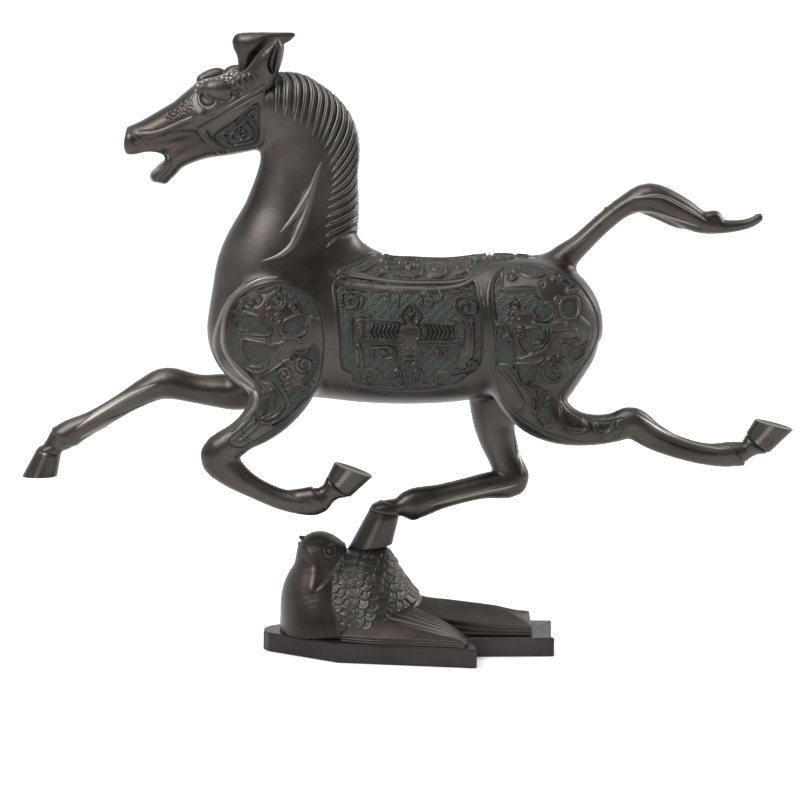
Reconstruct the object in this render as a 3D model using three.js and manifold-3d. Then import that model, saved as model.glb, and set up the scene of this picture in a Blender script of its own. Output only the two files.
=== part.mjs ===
// A galloping bronze horse whose one standing hoof rests on the back of a flying swallow, on a low plinth.
// Millimetres. The horse faces -X, +Z is up, and the origin is the middle of the plinth's underside.
import * as THREE from "three";
import { mergeVertices } from "three/addons/utils/BufferGeometryUtils.js";
import Module from "manifold-3d";

const wasm = await Module();
wasm.setup();

// Driving dimensions.
const PLINTH_TOP = 9.3;
const SEAM = 0.3; // the fine gap between two castings that are soldered together
const GRID_STEP = 2.4; // spacing of the lattice on which the smooth forms are meshed
const HORSE_TRIANGLES = 7600;
const SWALLOW_TRIANGLES = 2000;
const BLOCK = 4; // lattice points along one side of a block that is tested as a whole
const CARVED_FROM = 0.2; // height above the smooth form at which a face counts as carving
const CARVED_WEIGHT = 6; // how much more a carved face counts when the mesh is thinned out
const SINK = 0.8; // how deep the foot of a raised line lies under the surface
const LONGEST_SPAN = 8; // a raised line is divided so that it follows the curve under it

// Smooth forms.
// A limb walks through stations [x, y, z, half thickness in the upright plane, half width across].

const TORSO = [
  [-67, 0, 152.5, 27.2, 24],
  [-42, 0, 157.2, 34.3, 28],
  [-12, 0, 155.5, 35.4, 30],
  [18, 0, 155.4, 34.6, 30.5],
  [42, 0, 158.8, 33.4, 29],
  [59.6, 0, 160, 30.6, 27],
];
const NECK = [
  [-66, 0, 160, 28.5, 24],
  [-62, 0, 182, 30.8, 22],
  [-53, 0, 206, 27.6, 17],
  [-48.4, 0, 230, 23, 13.5],
  [-46.8, 0, 248, 21.2, 12],
  [-55.5, 0, 262, 16, 11.5],
];
const SKULL = [
  [-64, 0, 263.5, 13, 11.5],
  [-82, 0, 264, 12.6, 12],
  [-97, 0, 260.2, 11.4, 11.2],
  [-111, 0, 254.6, 9.4, 9],
  [-123, 0, 249, 8.2, 7.8],
  [-131, 0, 245.6, 7.4, 7.4],
];
const JAW = [
  [-74, 0, 254, 12, 10],
  [-86, 0, 250.8, 11.2, 9.5],
  [-97, 0, 247, 9, 8.5],
  [-105, 0, 242.6, 7, 7.4],
  [-111.5, 0, 238.2, 5.8, 6.6],
  [-115, 0, 233.6, 5, 6],
  [-119.2, 0, 228.8, 5.2, 5.2],
];
const BROW = [
  [-97.4, 8.4, 272.6, 3.8, 3.6],
  [-90.5, 9.2, 274.8, 5, 4],
  [-84, 9, 275.4, 3.9, 3.8],
  [-77, 9.2, 276.2, 4, 3.8],
  [-71, 9.8, 277, 4, 3.6],
];
const NEAR_FORELEG = [
  [-64, -13, 161, 24, 17],
  [-62, -16, 146, 22.5, 15],
  [-61, -19, 132, 16, 12.5],
  [-66, -21.5, 120.5, 11.8, 10],
  [-72.8, -23, 113, 9.2, 8.6],
  [-80.8, -24, 107.4, 7.6, 7.4],
  [-90.8, -24, 98.6, 8.8, 7.4],
  [-85, -24, 90.6, 7.2, 6.6],
  [-74.2, -24, 83.2, 5.2, 5.4],
  [-59.5, -24, 77, 5.1, 5.3],
  [-45.8, -24, 76.4, 6.6, 6.2],
  [-39.6, -24, 79.4, 4.4, 4.6],
  [-35, -24, 83, 5, 5],
];
const FAR_FORELEG = [
  [-64, 13, 161, 24, 17],
  [-63, 16, 147, 23, 15],
  [-68, 19, 133, 15, 12],
  [-82, 21, 123.2, 9.8, 9],
  [-93, 22, 122.6, 8.2, 8.2],
  [-104, 22.5, 123.6, 7.1, 7.4],
  [-117.5, 23, 126.2, 7.6, 7.4],
  [-127, 23, 123.3, 6.3, 6.6],
  [-140, 23, 115.9, 5, 5.3],
  [-153.5, 23, 107.6, 5.3, 5.2],
  [-167, 23, 100.6, 6.6, 6.2],
  [-172.5, 23, 96, 4.8, 4.9],
  [-175.5, 23, 91, 5, 5],
];
const NEAR_HIND_LEG = [
  [60.6, -12, 158, 31, 21],
  [58.5, -15.5, 141.5, 23.4, 18],
  [57.5, -18.5, 130, 17.2, 15],
  [61.5, -20.5, 121, 13.4, 12.5],
  [69, -22.5, 115, 10.6, 10],
  [78, -24, 111.8, 8.4, 8.6],
  [88, -24, 111, 7.3, 7.6],
  [97, -24, 112.2, 7, 7],
  [105.5, -24, 114.2, 7.6, 6.8],
  [115.3, -24, 107.9, 6.4, 6],
  [127, -24, 102.6, 5.3, 5.2],
  [140.5, -24, 99.3, 5.2, 5.3],
  [153, -24, 99.3, 6, 6],
  [160, -24, 101.4, 4.2, 4.6],
  [165, -24, 104.5, 5, 5],
];
const FAR_HIND_LEG = [
  [59, 12, 158, 30.5, 21],
  [54, 15, 142, 23.5, 18.5],
  [46, 17.5, 128, 18, 15.5],
  [41, 18, 112, 11.2, 11],
  [42.2, 16.5, 101, 9, 9],
  [46, 14.5, 90, 7.6, 7.6],
  [49.2, 12.5, 80.2, 8, 7],
  [34, 10, 77.5, 6.1, 6],
  [16, 7.5, 73.2, 6.1, 5.6],
  [2, 5, 70.2, 7, 6.2],
  [-8, 3.5, 68.4, 5.8, 5.6],
  [-13, 2.5, 64.5, 7.2, 6.2],
  [-14.4, 2, 59, 8, 6.8],
];
const TAIL = [
  [62, 0, 180, 8, 9],
  [73.5, 0, 190.2, 6.6, 7.5],
  [81, 0, 196.6, 5.2, 6],
  [91, 0, 206.1, 4.7, 5.2],
  [102.4, 0, 215.1, 5, 6],
  [114, 0, 219, 7, 7.5],
  [127, 0, 213.8, 6.8, 7],
  [137, 0, 208, 5.6, 5.5],
  [147, 0, 205.4, 3.6, 4.6],
  [157, 0, 205.8, 2.6, 3.4],
  [163, 0, 207.4, 2.3, 2.8],
  [166.4, 0, 209.6, 2, 2.2],
];
const TAIL_KNOT = [
  [143, 0, 209.4, 2.6, 5],
  [148, 0, 207.6, 2.4, 4.8],
];
const WITHERS = [
  [-40, 0, 187.4, 12, 12],
  [-28, 0, 189, 8, 9],
  [-19, 0, 187.4, 5, 8],
];
const FAR_ERGOT = [
  [2, 4.5, 68, 5, 5],
  [1.4, 4.5, 62.8, 1.2, 1.4],
];
const BIRD_HEAD = [
  [-40, 0, 46.5, 9, 8.6],
  [-43.6, 0, 48.4, 8.2, 7.6],
  [-48, 0, 50.6, 5, 5],
  [-52.2, 0, 53.4, 1.3, 1.6],
];
const BIRD_BREAST = [
  [-40.5, 0, 44, 9.2, 9],
  [-43.6, 0, 35, 13.4, 13.5],
  [-44, 0, 26, 18, 19.5],
  [-42.4, 0, 15, 20.4, 24],
  [-42.4, 0, 8, 20.6, 25],
];
const BIRD_BACK = [
  [-31, 0, 37, 11, 11],
  [-20.4, 0, 39, 12.6, 12],
  [-21, 0, 31, 17.6, 19],
  [-19.5, 0, 21, 20.8, 26],
  [-18, 0, 10, 22.4, 31],
];

// Carving on the near side of the horse, as [x, z] points.
const FLANK_LINES = [
  [[-37, 177], [-34.5, 164.5], [-33.5, 153.5], [-33.5, 141], [-28.5, 137.5], [-26, 131.5], [-11, 129],
    [5.5, 128.5], [20.5, 131], [26, 134.5], [27.5, 137], [33, 140], [35.5, 150.5], [35, 164.5],
    [32, 176.5]],
  [[-28, 186], [-16, 183.5], [-5.5, 182], [11, 181.5], [24.5, 182.5], [31.5, 186], [36.5, 190]],
  [[-23.5, 170], [-22.5, 176], [-32, 176.5], [-31, 170.5], [-26, 170.5], [-25, 174], [-29, 174.5]],
  [[22.5, 168.5], [22, 174.5], [30, 173.5], [30.5, 168], [24.5, 168], [24, 171.5], [27, 172]],
  [[-23, 141.5], [-23.5, 150.5], [-27.5, 153.5], [-28, 166.5], [-20, 166.5], [-18.5, 164], [-5, 164]],
  [[-21.5, 165], [-25, 162], [-25, 155.5], [-22, 153], [-5.5, 153], [-4.5, 143.5]],
  [[22.5, 163.5], [25.5, 161], [24.5, 154.5], [22, 152.5], [5, 152.5], [4, 143]],
  [[-2.5, 163], [-4.5, 166.5], [-2.5, 170], [0, 172], [3, 170], [4.5, 166.5], [2.5, 162.5]],
  [[4.5, 163.5], [19.5, 162.5], [20.5, 164.5], [29.5, 164.5], [29.5, 149], [26.5, 144.5]],
  [[-28.5, 140], [-15.5, 139.5], [-13.5, 135], [-7.5, 134.5], [-5, 137], [-7.5, 139]],
  [[2, 139.5], [5, 138], [5.5, 134.5], [11, 134.5], [12.5, 138.5], [26.5, 139.5]],
];
const SHOULDER_LINES = [
  [[-74, 168], [-78.5, 170], [-78, 173], [-75, 173.5], [-74.5, 171]],
  [[-73.5, 172.5], [-70, 177.5], [-63, 180], [-62, 175.5], [-60.5, 173], [-63, 171], [-64.5, 173]],
  [[-51.5, 157.5], [-60.5, 158.5], [-59.5, 164.5], [-62.5, 167], [-64, 165]],
  [[-78.5, 167], [-71.5, 166.5], [-65.5, 161.5], [-66.5, 157.5], [-75, 157.5], [-81.5, 159]],
  [[-51.5, 157.5], [-46.5, 165], [-43, 159.5], [-47.5, 151], [-56.5, 149], [-57, 145.5], [-63.5, 145]],
  [[-66.5, 153.5], [-60.5, 153.5], [-59, 156], [-49, 155.5]],
  [[-80, 155.5], [-79.5, 147.5], [-75, 142], [-69, 144]],
  [[-45.5, 147.5], [-53.5, 145.5], [-52, 141], [-48, 142], [-49, 144.5]],
  [[-54.5, 142.5], [-60.5, 141], [-63, 137], [-58, 133.5], [-52, 136]],
  [[-66.5, 135], [-63, 129.5], [-65.5, 123.5], [-71.5, 121.5]],
];
const SHOULDER_RIM = [
  [-71, 135], [-79.5, 141.5], [-87, 149], [-88, 159.5], [-85.5, 168], [-80, 176], [-72, 180], [-63, 181.5],
  [-53.5, 179], [-46, 174.5], [-42, 167], [-40.5, 156.5], [-41.5, 144.5], [-45, 133.5],
];
const SHOULDER_BAND = [
  [-87, 168], [-90.5, 158.5], [-92, 149.5], [-88.5, 141], [-81, 135], [-74, 131], [-74, 123.5],
];
const HAUNCH_RIM = [
  [60.5, 112], [50, 118.5], [43, 127.5], [40, 139.5], [40, 153], [39, 163], [37.5, 173], [38, 181], [41, 186],
  [48.5, 189], [58, 189.5], [66.5, 188], [73.5, 185], [80.5, 179], [85, 171.5], [87, 163], [86.5, 155],
  [83, 147], [77, 138], [70, 130],
];
const FAR_HAUNCH_RIM = [
  [33.5, 118], [33, 128.5], [36, 139.5], ...HAUNCH_RIM.slice(4, 17), [80, 143], [70, 131], [58, 121],
  [51.5, 108],
];
const HAUNCH_LINES = [
  [[50.5, 184.5], [47, 186.5], [43, 185.5], [44, 179.5], [57, 179.5], [61, 174], [66.5, 170], [67, 166],
    [59, 165.5]],
  [[47, 170], [46.5, 173.5], [50, 174], [51, 171.5], [49.5, 170]],
  [[46, 168], [42, 163], [48.5, 157.5], [53, 157.5], [51, 160]],
  [[51, 169], [57, 169], [59, 165], [72.5, 164], [74, 162]],
  [[66, 160], [77.5, 160], [79, 156], [71, 154.5], [69.5, 146]],
  [[60.5, 141], [63, 145.5], [69.5, 146], [73.5, 143], [72.5, 138.5], [67.5, 137.5], [65, 140]],
  [[42, 141], [46.5, 138], [54.5, 123.5], [48, 120.5], [41, 134], [42, 141]],
  [[50, 143], [52, 136], [58.5, 132], [57, 127.5], [59, 120.5]],
  [[72, 119], [72.5, 112], [82.5, 111.5], [82.5, 117]],
  [[87, 116.5], [89, 110.5], [93.5, 110.5], [97, 116.5]],
];

// Lines on both sides of the head, each with its half width and height: the cheek strap and its front
// band, the scroll inside it, the ridge along the muzzle and the fold behind the mouth.
const HEAD_LINES = [
  [[[-98.4, 254], [-84, 263], [-69.5, 272.6], [-68.4, 260], [-68.6, 247.2], [-72, 243.2], [-87.8, 241]],
    1.1, 0.8],
  [[[-98.4, 254], [-91.6, 241.2]], 1.5, 0.9],
  [[[-90, 249], [-82, 256], [-76, 258], [-74, 251], [-79, 247], [-85, 249]], 0.9, 0.7],
  [[[-131, 249.6], [-118, 250.4], [-106, 253.4], [-99.5, 257.4]], 1.4, 0.8],
  [[[-121, 242.6], [-115.6, 241], [-113.8, 236.6], [-117, 231.6]], 1, 0.7],
];

// Each lock of the mane sweeps from the crest [x, z] down the neck to its point [x, z].
const LOCKS = [
  [[-61, 277], [-67, 262]], [[-57, 278], [-62.5, 260]], [[-53, 278], [-58, 258]],
  [[-49, 277], [-53.5, 255.5]],
  [[-45, 275.2], [-49, 252]], [[-41, 273.2], [-45.5, 249]], [[-37.4, 270.4], [-42.5, 246]],
  [[-34, 267], [-40.5, 242.5]], [[-31, 263.8], [-39.5, 238.5]], [[-28.4, 259.6], [-38.6, 234.5]],
  [[-26.4, 255], [-38.4, 230.5]], [[-25, 250], [-38.4, 226.5]], [[-24.2, 245], [-38.8, 222.5]],
  [[-23.8, 239.6], [-39.4, 218.5]], [[-23.6, 234], [-40, 214.5]], [[-23.6, 228.4], [-40.8, 210.5]],
  [[-23.8, 222.6], [-41.4, 206.5]], [[-24, 217], [-41.4, 202]], [[-24.2, 211.4], [-41, 198]],
  [[-24.4, 206], [-39, 195]],
];

const catmullRom = (a, b, c, d, t) =>
  b + 0.5 * t * (c - a + t * (2 * a - 5 * b + 4 * c - d + t * (3 * (b - c) + d - a)));

function smoothWalk(stations, steps) {
  const at = (i) => stations[Math.min(Math.max(i, 0), stations.length - 1)];
  const walk = [];
  for (let i = 0; i < stations.length - 1; i++) {
    for (let k = 0; k < steps; k++) {
      const around = [at(i - 1), at(i), at(i + 1), at(i + 2)];
      walk.push(at(i).map((_, c) => catmullRom(...around.map((s) => s[c]), k / steps)));
    }
  }
  walk.push(at(stations.length - 1));
  return walk;
}

// The distance from a point to a limb, negative inside. Far from the limb it is only a lower bound.
function limbForm(stations, steps = 4) {
  const walk = smoothWalk(stations, steps);
  const reach = 30;
  const low = [0, 1, 2].map((c) => Math.min(...walk.map((s) => s[c] - s[c === 1 ? 4 : 3])));
  const high = [0, 1, 2].map((c) => Math.max(...walk.map((s) => s[c] + s[c === 1 ? 4 : 3])));
  return (x, y, z) => {
    const away = Math.max(low[0] - x, x - high[0], low[1] - y, y - high[1], low[2] - z, z - high[2]);
    if (away > reach) return away;
    let nearest = Infinity;
    for (let i = 0; i + 1 < walk.length; i++) {
      const [ax, ay, az, aThick, aWide] = walk[i];
      const [bx, by, bz, bThick, bWide] = walk[i + 1];
      const ux = bx - ax, uy = by - ay, uz = bz - az;
      const along = ((x - ax) * ux + (y - ay) * uy + (z - az) * uz) / (ux * ux + uy * uy + uz * uz);
      const t = Math.min(Math.max(along, 0), 1);
      const thick = aThick + t * (bThick - aThick), wide = aWide + t * (bWide - aWide);
      const flat = (x - ax - t * ux) ** 2 + (z - az - t * uz) ** 2, across = (y - ay - t * uy) ** 2;
      const k0 = Math.sqrt(flat / thick ** 2 + across / wide ** 2);
      const k1 = Math.sqrt(flat / thick ** 4 + across / wide ** 4);
      nearest = Math.min(nearest, k1 < 1e-9 ? -Math.min(thick, wide) : (k0 * (k0 - 1)) / k1);
    }
    return nearest;
  };
}

function blend(a, b, width) {
  const h = Math.max(width - Math.abs(a - b), 0) / width;
  return Math.min(a, b) - (h * h * width) / 4;
}

const horseLimbs = [
  [limbForm(TORSO), 0],
  [limbForm(NECK), 12],
  [limbForm(SKULL), 7],
  [limbForm(JAW), 3.5],
  [limbForm(BROW), 3],
  [limbForm(BROW.map(([x, y, z, ...half]) => [x, -y, z, ...half])), 3],
  [limbForm(NEAR_FORELEG), 5],
  [limbForm(FAR_FORELEG), 5],
  [limbForm(NEAR_HIND_LEG), 6],
  [limbForm(FAR_HIND_LEG), 6],
  [limbForm(TAIL), 5],
  [limbForm(TAIL_KNOT), 1.5],
  [limbForm(WITHERS), 8],
  [limbForm(FAR_ERGOT), 2],
];

function horseForm(x, y, z) {
  let d = 1e3;
  for (const [limb, width] of horseLimbs) {
    const own = limb(x, y, z);
    d = width ? blend(d, own, width) : Math.min(d, own);
  }
  return d;
}

// Surface nets: one vertex in each lattice cell that the surface crosses, and one quad on each crossed edge.
function meshForm(form, low, high, step) {
  const size = low.map((v, c) => Math.ceil((high[c] - v) / step) + 1);
  const [nx, ny, nz] = size;
  const place = (i, j, k) => (i * ny + j) * nz + k;
  const value = new Float32Array(nx * ny * nz);
  const at = (i, j, k) => form(low[0] + i * step, low[1] + j * step, low[2] + k * step);
  // Blocks that lie well away from the surface take the value of their middle.
  for (let i = 0; i < nx; i += BLOCK)
    for (let j = 0; j < ny; j += BLOCK)
      for (let k = 0; k < nz; k += BLOCK) {
        const half = (BLOCK - 1) / 2;
        const middle = at(i + half, j + half, k + half);
        const far = Math.abs(middle) > 2.6 * half * step;
        for (let a = i; a < Math.min(i + BLOCK, nx); a++)
          for (let b = j; b < Math.min(j + BLOCK, ny); b++)
            for (let c = k; c < Math.min(k + BLOCK, nz); c++)
              value[place(a, b, c)] = far ? middle : at(a, b, c);
      }
  const vertexOf = new Int32Array(nx * ny * nz).fill(-1);
  const points = [];
  const corners = [0, 1, 2, 3, 4, 5, 6, 7].map((n) => [n & 1, (n >> 1) & 1, (n >> 2) & 1]);
  for (let i = 0; i + 1 < nx; i++)
    for (let j = 0; j + 1 < ny; j++)
      for (let k = 0; k + 1 < nz; k++) {
        const sum = [0, 0, 0];
        let crossings = 0;
        for (let a = 0; a < 8; a++)
          for (const bit of [1, 2, 4]) {
            if (a & bit) continue;
            const b = a | bit;
            const va = value[place(i + corners[a][0], j + corners[a][1], k + corners[a][2])];
            const vb = value[place(i + corners[b][0], j + corners[b][1], k + corners[b][2])];
            if (va < 0 === vb < 0) continue;
            const t = va / (va - vb);
            for (let c = 0; c < 3; c++) sum[c] += corners[a][c] + t * (corners[b][c] - corners[a][c]);
            crossings++;
          }
        if (!crossings) continue;
        vertexOf[place(i, j, k)] = points.length;
        points.push([i, j, k].map((v, c) => low[c] + step * (v + sum[c] / crossings)));
      }
  const triangles = [];
  const axes = [[1, 0, 0], [0, 1, 0], [0, 0, 1]];
  for (let i = 1; i + 1 < nx; i++)
    for (let j = 1; j + 1 < ny; j++)
      for (let k = 1; k + 1 < nz; k++)
        for (let c = 0; c < 3; c++) {
          const [u, v, w] = axes[c];
          const inside = value[place(i, j, k)] < 0;
          if (inside === value[place(i + u, j + v, k + w)] < 0) continue;
          const [p, q, r] = axes[(c + 1) % 3];
          const [s, t, m] = axes[(c + 2) % 3];
          const quad = [
            vertexOf[place(i, j, k)],
            vertexOf[place(i - p, j - q, k - r)],
            vertexOf[place(i - p - s, j - q - t, k - r - m)],
            vertexOf[place(i - s, j - t, k - m)],
          ];
          if (!inside) quad.reverse();
          triangles.push([quad[0], quad[1], quad[2]], [quad[0], quad[2], quad[3]]);
        }
  return { points, triangles };
}

function slopeAt(form, p) {
  const h = 0.05;
  const d = form(...p);
  return [0, 1, 2].map((c) => {
    const q = [...p];
    q[c] += h;
    return (form(...q) - d) / h;
  });
}

// Moves each vertex onto the surface along the form's slope.
function settle(points, form, rounds = 3) {
  for (const p of points)
    for (let n = 0; n < rounds; n++) {
      const slope = slopeAt(form, p);
      const squared = slope[0] ** 2 + slope[1] ** 2 + slope[2] ** 2;
      if (squared < 1e-6) break;
      const move = (0.8 * form(...p)) / squared;
      for (let c = 0; c < 3; c++) p[c] -= move * slope[c];
    }
}

// Edge collapse by quadric error, cheapest first. Each collapse keeps the surface closed and turns no face
// over. Faces that stand clear of the smooth form are carving and count for more.
function simplify({ points, triangles }, target, form) {
  const faces = triangles.map((t) => [...t]);
  const facesOf = points.map(() => new Set());
  faces.forEach((t, f) => t.forEach((v) => facesOf[v].add(f)));
  const sub = (a, b) => [a[0] - b[0], a[1] - b[1], a[2] - b[2]];
  const normal = (a, b, c) => cross(sub(b, a), sub(c, a));
  // 1 for an equal-sided triangle and near 0 for a sliver.
  const shapeOf = ([a, b, c]) => {
    const edges = [sub(a, b), sub(b, c), sub(c, a)].reduce((sum, e) => sum + dot(e, e), 0);
    return (2 * Math.sqrt(3) * Math.hypot(...normal(a, b, c))) / (edges || 1);
  };
  const quadrics = points.map(() => new Float64Array(10));
  for (const t of faces) {
    const [a, b, c] = t.map((v) => points[v]);
    const n = normal(a, b, c);
    const length = Math.hypot(...n) || 1;
    const carved = Math.abs(form(...a.map((v, i) => (v + b[i] + c[i]) / 3))) > CARVED_FROM;
    const weight = length * (carved ? CARVED_WEIGHT : 1);
    const plane = [n[0] / length, n[1] / length, n[2] / length];
    plane.push(-dot(plane, a));
    let q = 0;
    for (let r = 0; r < 4; r++)
      for (let s = r; s < 4; s++, q++) for (const v of t) quadrics[v][q] += plane[r] * plane[s] * weight;
  }
  const errorAt = (q, [x, y, z]) =>
    q[0] * x * x + 2 * q[1] * x * y + 2 * q[2] * x * z + 2 * q[3] * x +
    q[4] * y * y + 2 * q[5] * y * z + 2 * q[6] * y + q[7] * z * z + 2 * q[8] * z + q[9];
  const best = (a, b) => {
    const q = quadrics[a].map((v, i) => v + quadrics[b][i]);
    const middle = points[a].map((v, c) => (v + points[b][c]) / 2);
    const matrix = new THREE.Matrix3().set(q[0], q[1], q[2], q[1], q[4], q[5], q[2], q[5], q[7]);
    const places = [middle, points[a], points[b]];
    if (Math.abs(matrix.determinant()) > 1e-3) {
      const solved = new THREE.Vector3(-q[3], -q[6], -q[8]).applyMatrix3(matrix.invert()).toArray();
      const edge = Math.hypot(...sub(points[a], points[b]));
      if (Math.hypot(...sub(solved, middle)) < 2 * edge) places.push(solved);
    }
    return places.map((p) => ({ p, cost: errorAt(q, p) })).sort((m, n) => m.cost - n.cost)[0];
  };
  // A binary heap of candidate edges. An entry whose vertex has changed since is passed over.
  const version = points.map(() => 0);
  const heap = [];
  const lower = (i, j) => heap[i].cost < heap[j].cost;
  const swap = (i, j) => ([heap[i], heap[j]] = [heap[j], heap[i]]);
  const push = (entry) => {
    let i = heap.push(entry) - 1;
    for (; i && lower(i, (i - 1) >> 1); i = (i - 1) >> 1) swap(i, (i - 1) >> 1);
  };
  const pop = () => {
    swap(0, heap.length - 1);
    const top = heap.pop();
    for (let i = 0; ; ) {
      let least = i;
      for (const child of [2 * i + 1, 2 * i + 2])
        if (child < heap.length && lower(child, least)) least = child;
      if (least === i) return top;
      swap(i, least);
      i = least;
    }
  };
  const neighbours = (v) => new Set([...facesOf[v]].flatMap((f) => faces[f]).filter((w) => w !== v));
  const offer = (a, b) => push({ ...best(a, b), a, b, when: version[a] + version[b] });
  points.forEach((_, v) => neighbours(v).forEach((w) => v < w && offer(v, w)));
  let left = faces.length;
  while (left > target && heap.length) {
    const { a, b, p, when } = pop();
    if (!facesOf[a].size || !facesOf[b].size || version[a] + version[b] !== when) continue;
    const shared = [...neighbours(a)].filter((w) => neighbours(b).has(w));
    if (shared.length !== 2) continue;
    const turnsOver = [[a, b], [b, a]].some(([v, other]) =>
      [...facesOf[v]].some((f) => {
        if (faces[f].includes(other)) return false;
        const old = faces[f].map((w) => points[w]);
        const moved = faces[f].map((w) => (w === v ? p : points[w]));
        const before = normal(...old), after = normal(...moved);
        return (
          dot(before, after) < 0.3 * Math.hypot(...before) * Math.hypot(...after) ||
          shapeOf(moved) < Math.min(0.04, shapeOf(old))
        );
      }),
    );
    if (turnsOver) continue;
    for (const f of [...facesOf[b]]) {
      if (faces[f].includes(a)) {
        faces[f].forEach((w) => facesOf[w].delete(f));
        faces[f] = null;
        left--;
      } else {
        faces[f] = faces[f].map((w) => (w === b ? a : w));
        facesOf[b].delete(f);
        facesOf[a].add(f);
      }
    }
    points[a] = p;
    quadrics[b].forEach((v, i) => (quadrics[a][i] += v));
    version[a] += 1;
    version[b] += 1e6;
    neighbours(a).forEach((w) => offer(a, w));
  }
  const kept = [...new Set(faces.filter(Boolean).flat())];
  const place = new Map(kept.map((v, i) => [v, i]));
  const renumbered = faces.filter(Boolean).map((t) => t.map((v) => place.get(v)));
  return { points: kept.map((v) => points[v]), triangles: renumbered };
}

function toGeometry({ points, triangles }) {
  const geometry = new THREE.BufferGeometry();
  geometry.setAttribute("position", new THREE.Float32BufferAttribute(points.flat(), 3));
  geometry.setIndex(triangles.flat());
  return geometry;
}

function toSolid(geometry) {
  const bare = geometry.clone();
  bare.deleteAttribute("normal");
  bare.deleteAttribute("uv");
  const merged = mergeVertices(bare, 1e-4);
  return new wasm.Manifold(
    new wasm.Mesh({
      numProp: 3,
      vertProperties: merged.attributes.position.array,
      triVerts: new Uint32Array(merged.index.array),
    }),
  );
}

function fromSolid(solid) {
  const { vertProperties, triVerts } = solid.getMesh();
  const triples = (list) =>
    Array.from({ length: list.length / 3 }, (_, i) => [...list.slice(3 * i, 3 * i + 3)]);
  return { points: triples(vertProperties), triangles: triples(triVerts) };
}

const plus = (a, b, k = 1) => a.map((v, c) => v + k * b[c]);
const minus = (a, b) => plus(a, b, -1);
const cross = (a, b) => [a[1] * b[2] - a[2] * b[1], a[2] * b[0] - a[0] * b[2], a[0] * b[1] - a[1] * b[0]];
const dot = (a, b) => a[0] * b[0] + a[1] * b[1] + a[2] * b[2];
const unit = (a) => a.map((v) => v / (Math.hypot(...a) || 1));
const mix = (a, b, t) => a.map((v, c) => v + t * (b[c] - v));

// A closed skin over rings with the same number of points. Joined rings close into a loop instead of ending.
function skin(rings, joined = false) {
  const n = rings[0].length;
  const triangles = [];
  for (let i = 0; i < rings.length - (joined ? 0 : 1); i++)
    for (let k = 0; k < n; k++) {
      const here = i * n, next = ((i + 1) % rings.length) * n;
      const l = (k + 1) % n;
      triangles.push([here + k, here + l, next + l], [here + k, next + l, next + k]);
    }
  if (!joined)
    for (let k = 1; k + 1 < n; k++) {
      const last = (rings.length - 1) * n;
      triangles.push([0, k + 1, k], [last, last + k, last + k + 1]);
    }
  const points = rings.flat();
  let volume = 0;
  for (const [a, b, c] of triangles) volume += dot(points[a], cross(points[b], points[c]));
  if (volume < 0) triangles.forEach((t) => t.reverse());
  return toSolid(toGeometry({ points, triangles }));
}

// An upright slab whose outline is given as [x, z] points.
const slab = (outline, yFrom, yTo) => skin([yFrom, yTo].map((y) => outline.map(([x, z]) => [x, y, z])));

// A level sight line from one side towards the surface.
const fromSide = (side) => ([x, z]) => ({ start: [x, side * 70, z], step: [0, -side, 0] });

// The first point of the surface along a sight line, or else the one that the line passes nearest.
function land(form, { start, step }) {
  let p = start;
  let best = { d: Infinity };
  for (let n = 0; n < 90; n++) {
    const d = form(...p);
    if (d < best.d) best = { d, p };
    if (d < 0.02) break;
    p = plus(p, step, 0.8 * Math.max(d, 0.1));
  }
  const spot = [...best.p];
  settle([spot], form);
  return spot;
}

// A raised line with a sharp crest that follows the surface. Its tips are narrow unless it closes on itself.
function ridge(form, look, line, width, height, [first, final] = [0.4, 0.4]) {
  const joined = line[0][0] === line.at(-1)[0] && line[0][1] === line.at(-1)[1];
  const path = [];
  line.forEach((q, i) => {
    if (!i) return path.push(q);
    const spans = Math.ceil(Math.hypot(...minus(q, line[i - 1])) / LONGEST_SPAN);
    for (let k = 1; k <= spans; k++) path.push(mix(line[i - 1], q, k / spans));
  });
  if (joined) path.pop();
  const spots = path.map((q) => land(form, look(q)));
  const last = spots.length - 1;
  const at = (i) => spots[joined ? (i + spots.length) % spots.length : Math.min(Math.max(i, 0), last)];
  const rings = spots.map((p, i) => {
    const out = unit(slopeAt(form, p));
    const across = unit(cross(minus(at(i + 1), at(i - 1)), out));
    const full = joined ? 1 : i === 0 ? first : i === last ? final : 1;
    const foot = plus(p, out, -SINK);
    return [plus(foot, across, -width * full), plus(p, out, height * full), plus(foot, across, width * full)];
  });
  return skin(rings, joined);
}

const NEAR = -1;
const FAR = 1;

// A hoof tapers from its sole up to the coronet. Both are given by their front and rear points [x, z].
function hoof(y, [front, rear], [toe, heel], wide, soleWide) {
  const ring = ([fx, fz], [rx, rz], half) =>
    Array.from({ length: 14 }, (_, k) => {
      const turn = (2 * Math.PI * k) / 14;
      const along = Math.cos(turn), across = Math.sign(Math.sin(turn)) * Math.abs(Math.sin(turn)) ** 0.8;
      const between = (front, rear) => (front + rear) / 2 + (along * (front - rear)) / 2;
      return [between(fx, rx), y + across * half, between(fz, rz)];
    });
  return skin([ring(front, rear, wide), ring(toe, heel, soleWide)]);
}

// A level ring between two x values, tapering to a point at the rear by the given amount.
function levelRing([front, rear, y, half, z], taper = 0) {
  return Array.from({ length: 12 }, (_, k) => {
    const turn = (2 * Math.PI * k) / 12;
    const along = -Math.cos(turn);
    const narrow = 1 - taper * Math.max(along, 0);
    return [(front + rear) / 2 + (along * (rear - front)) / 2, y + Math.sin(turn) * half * narrow, z];
  });
}

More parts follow.
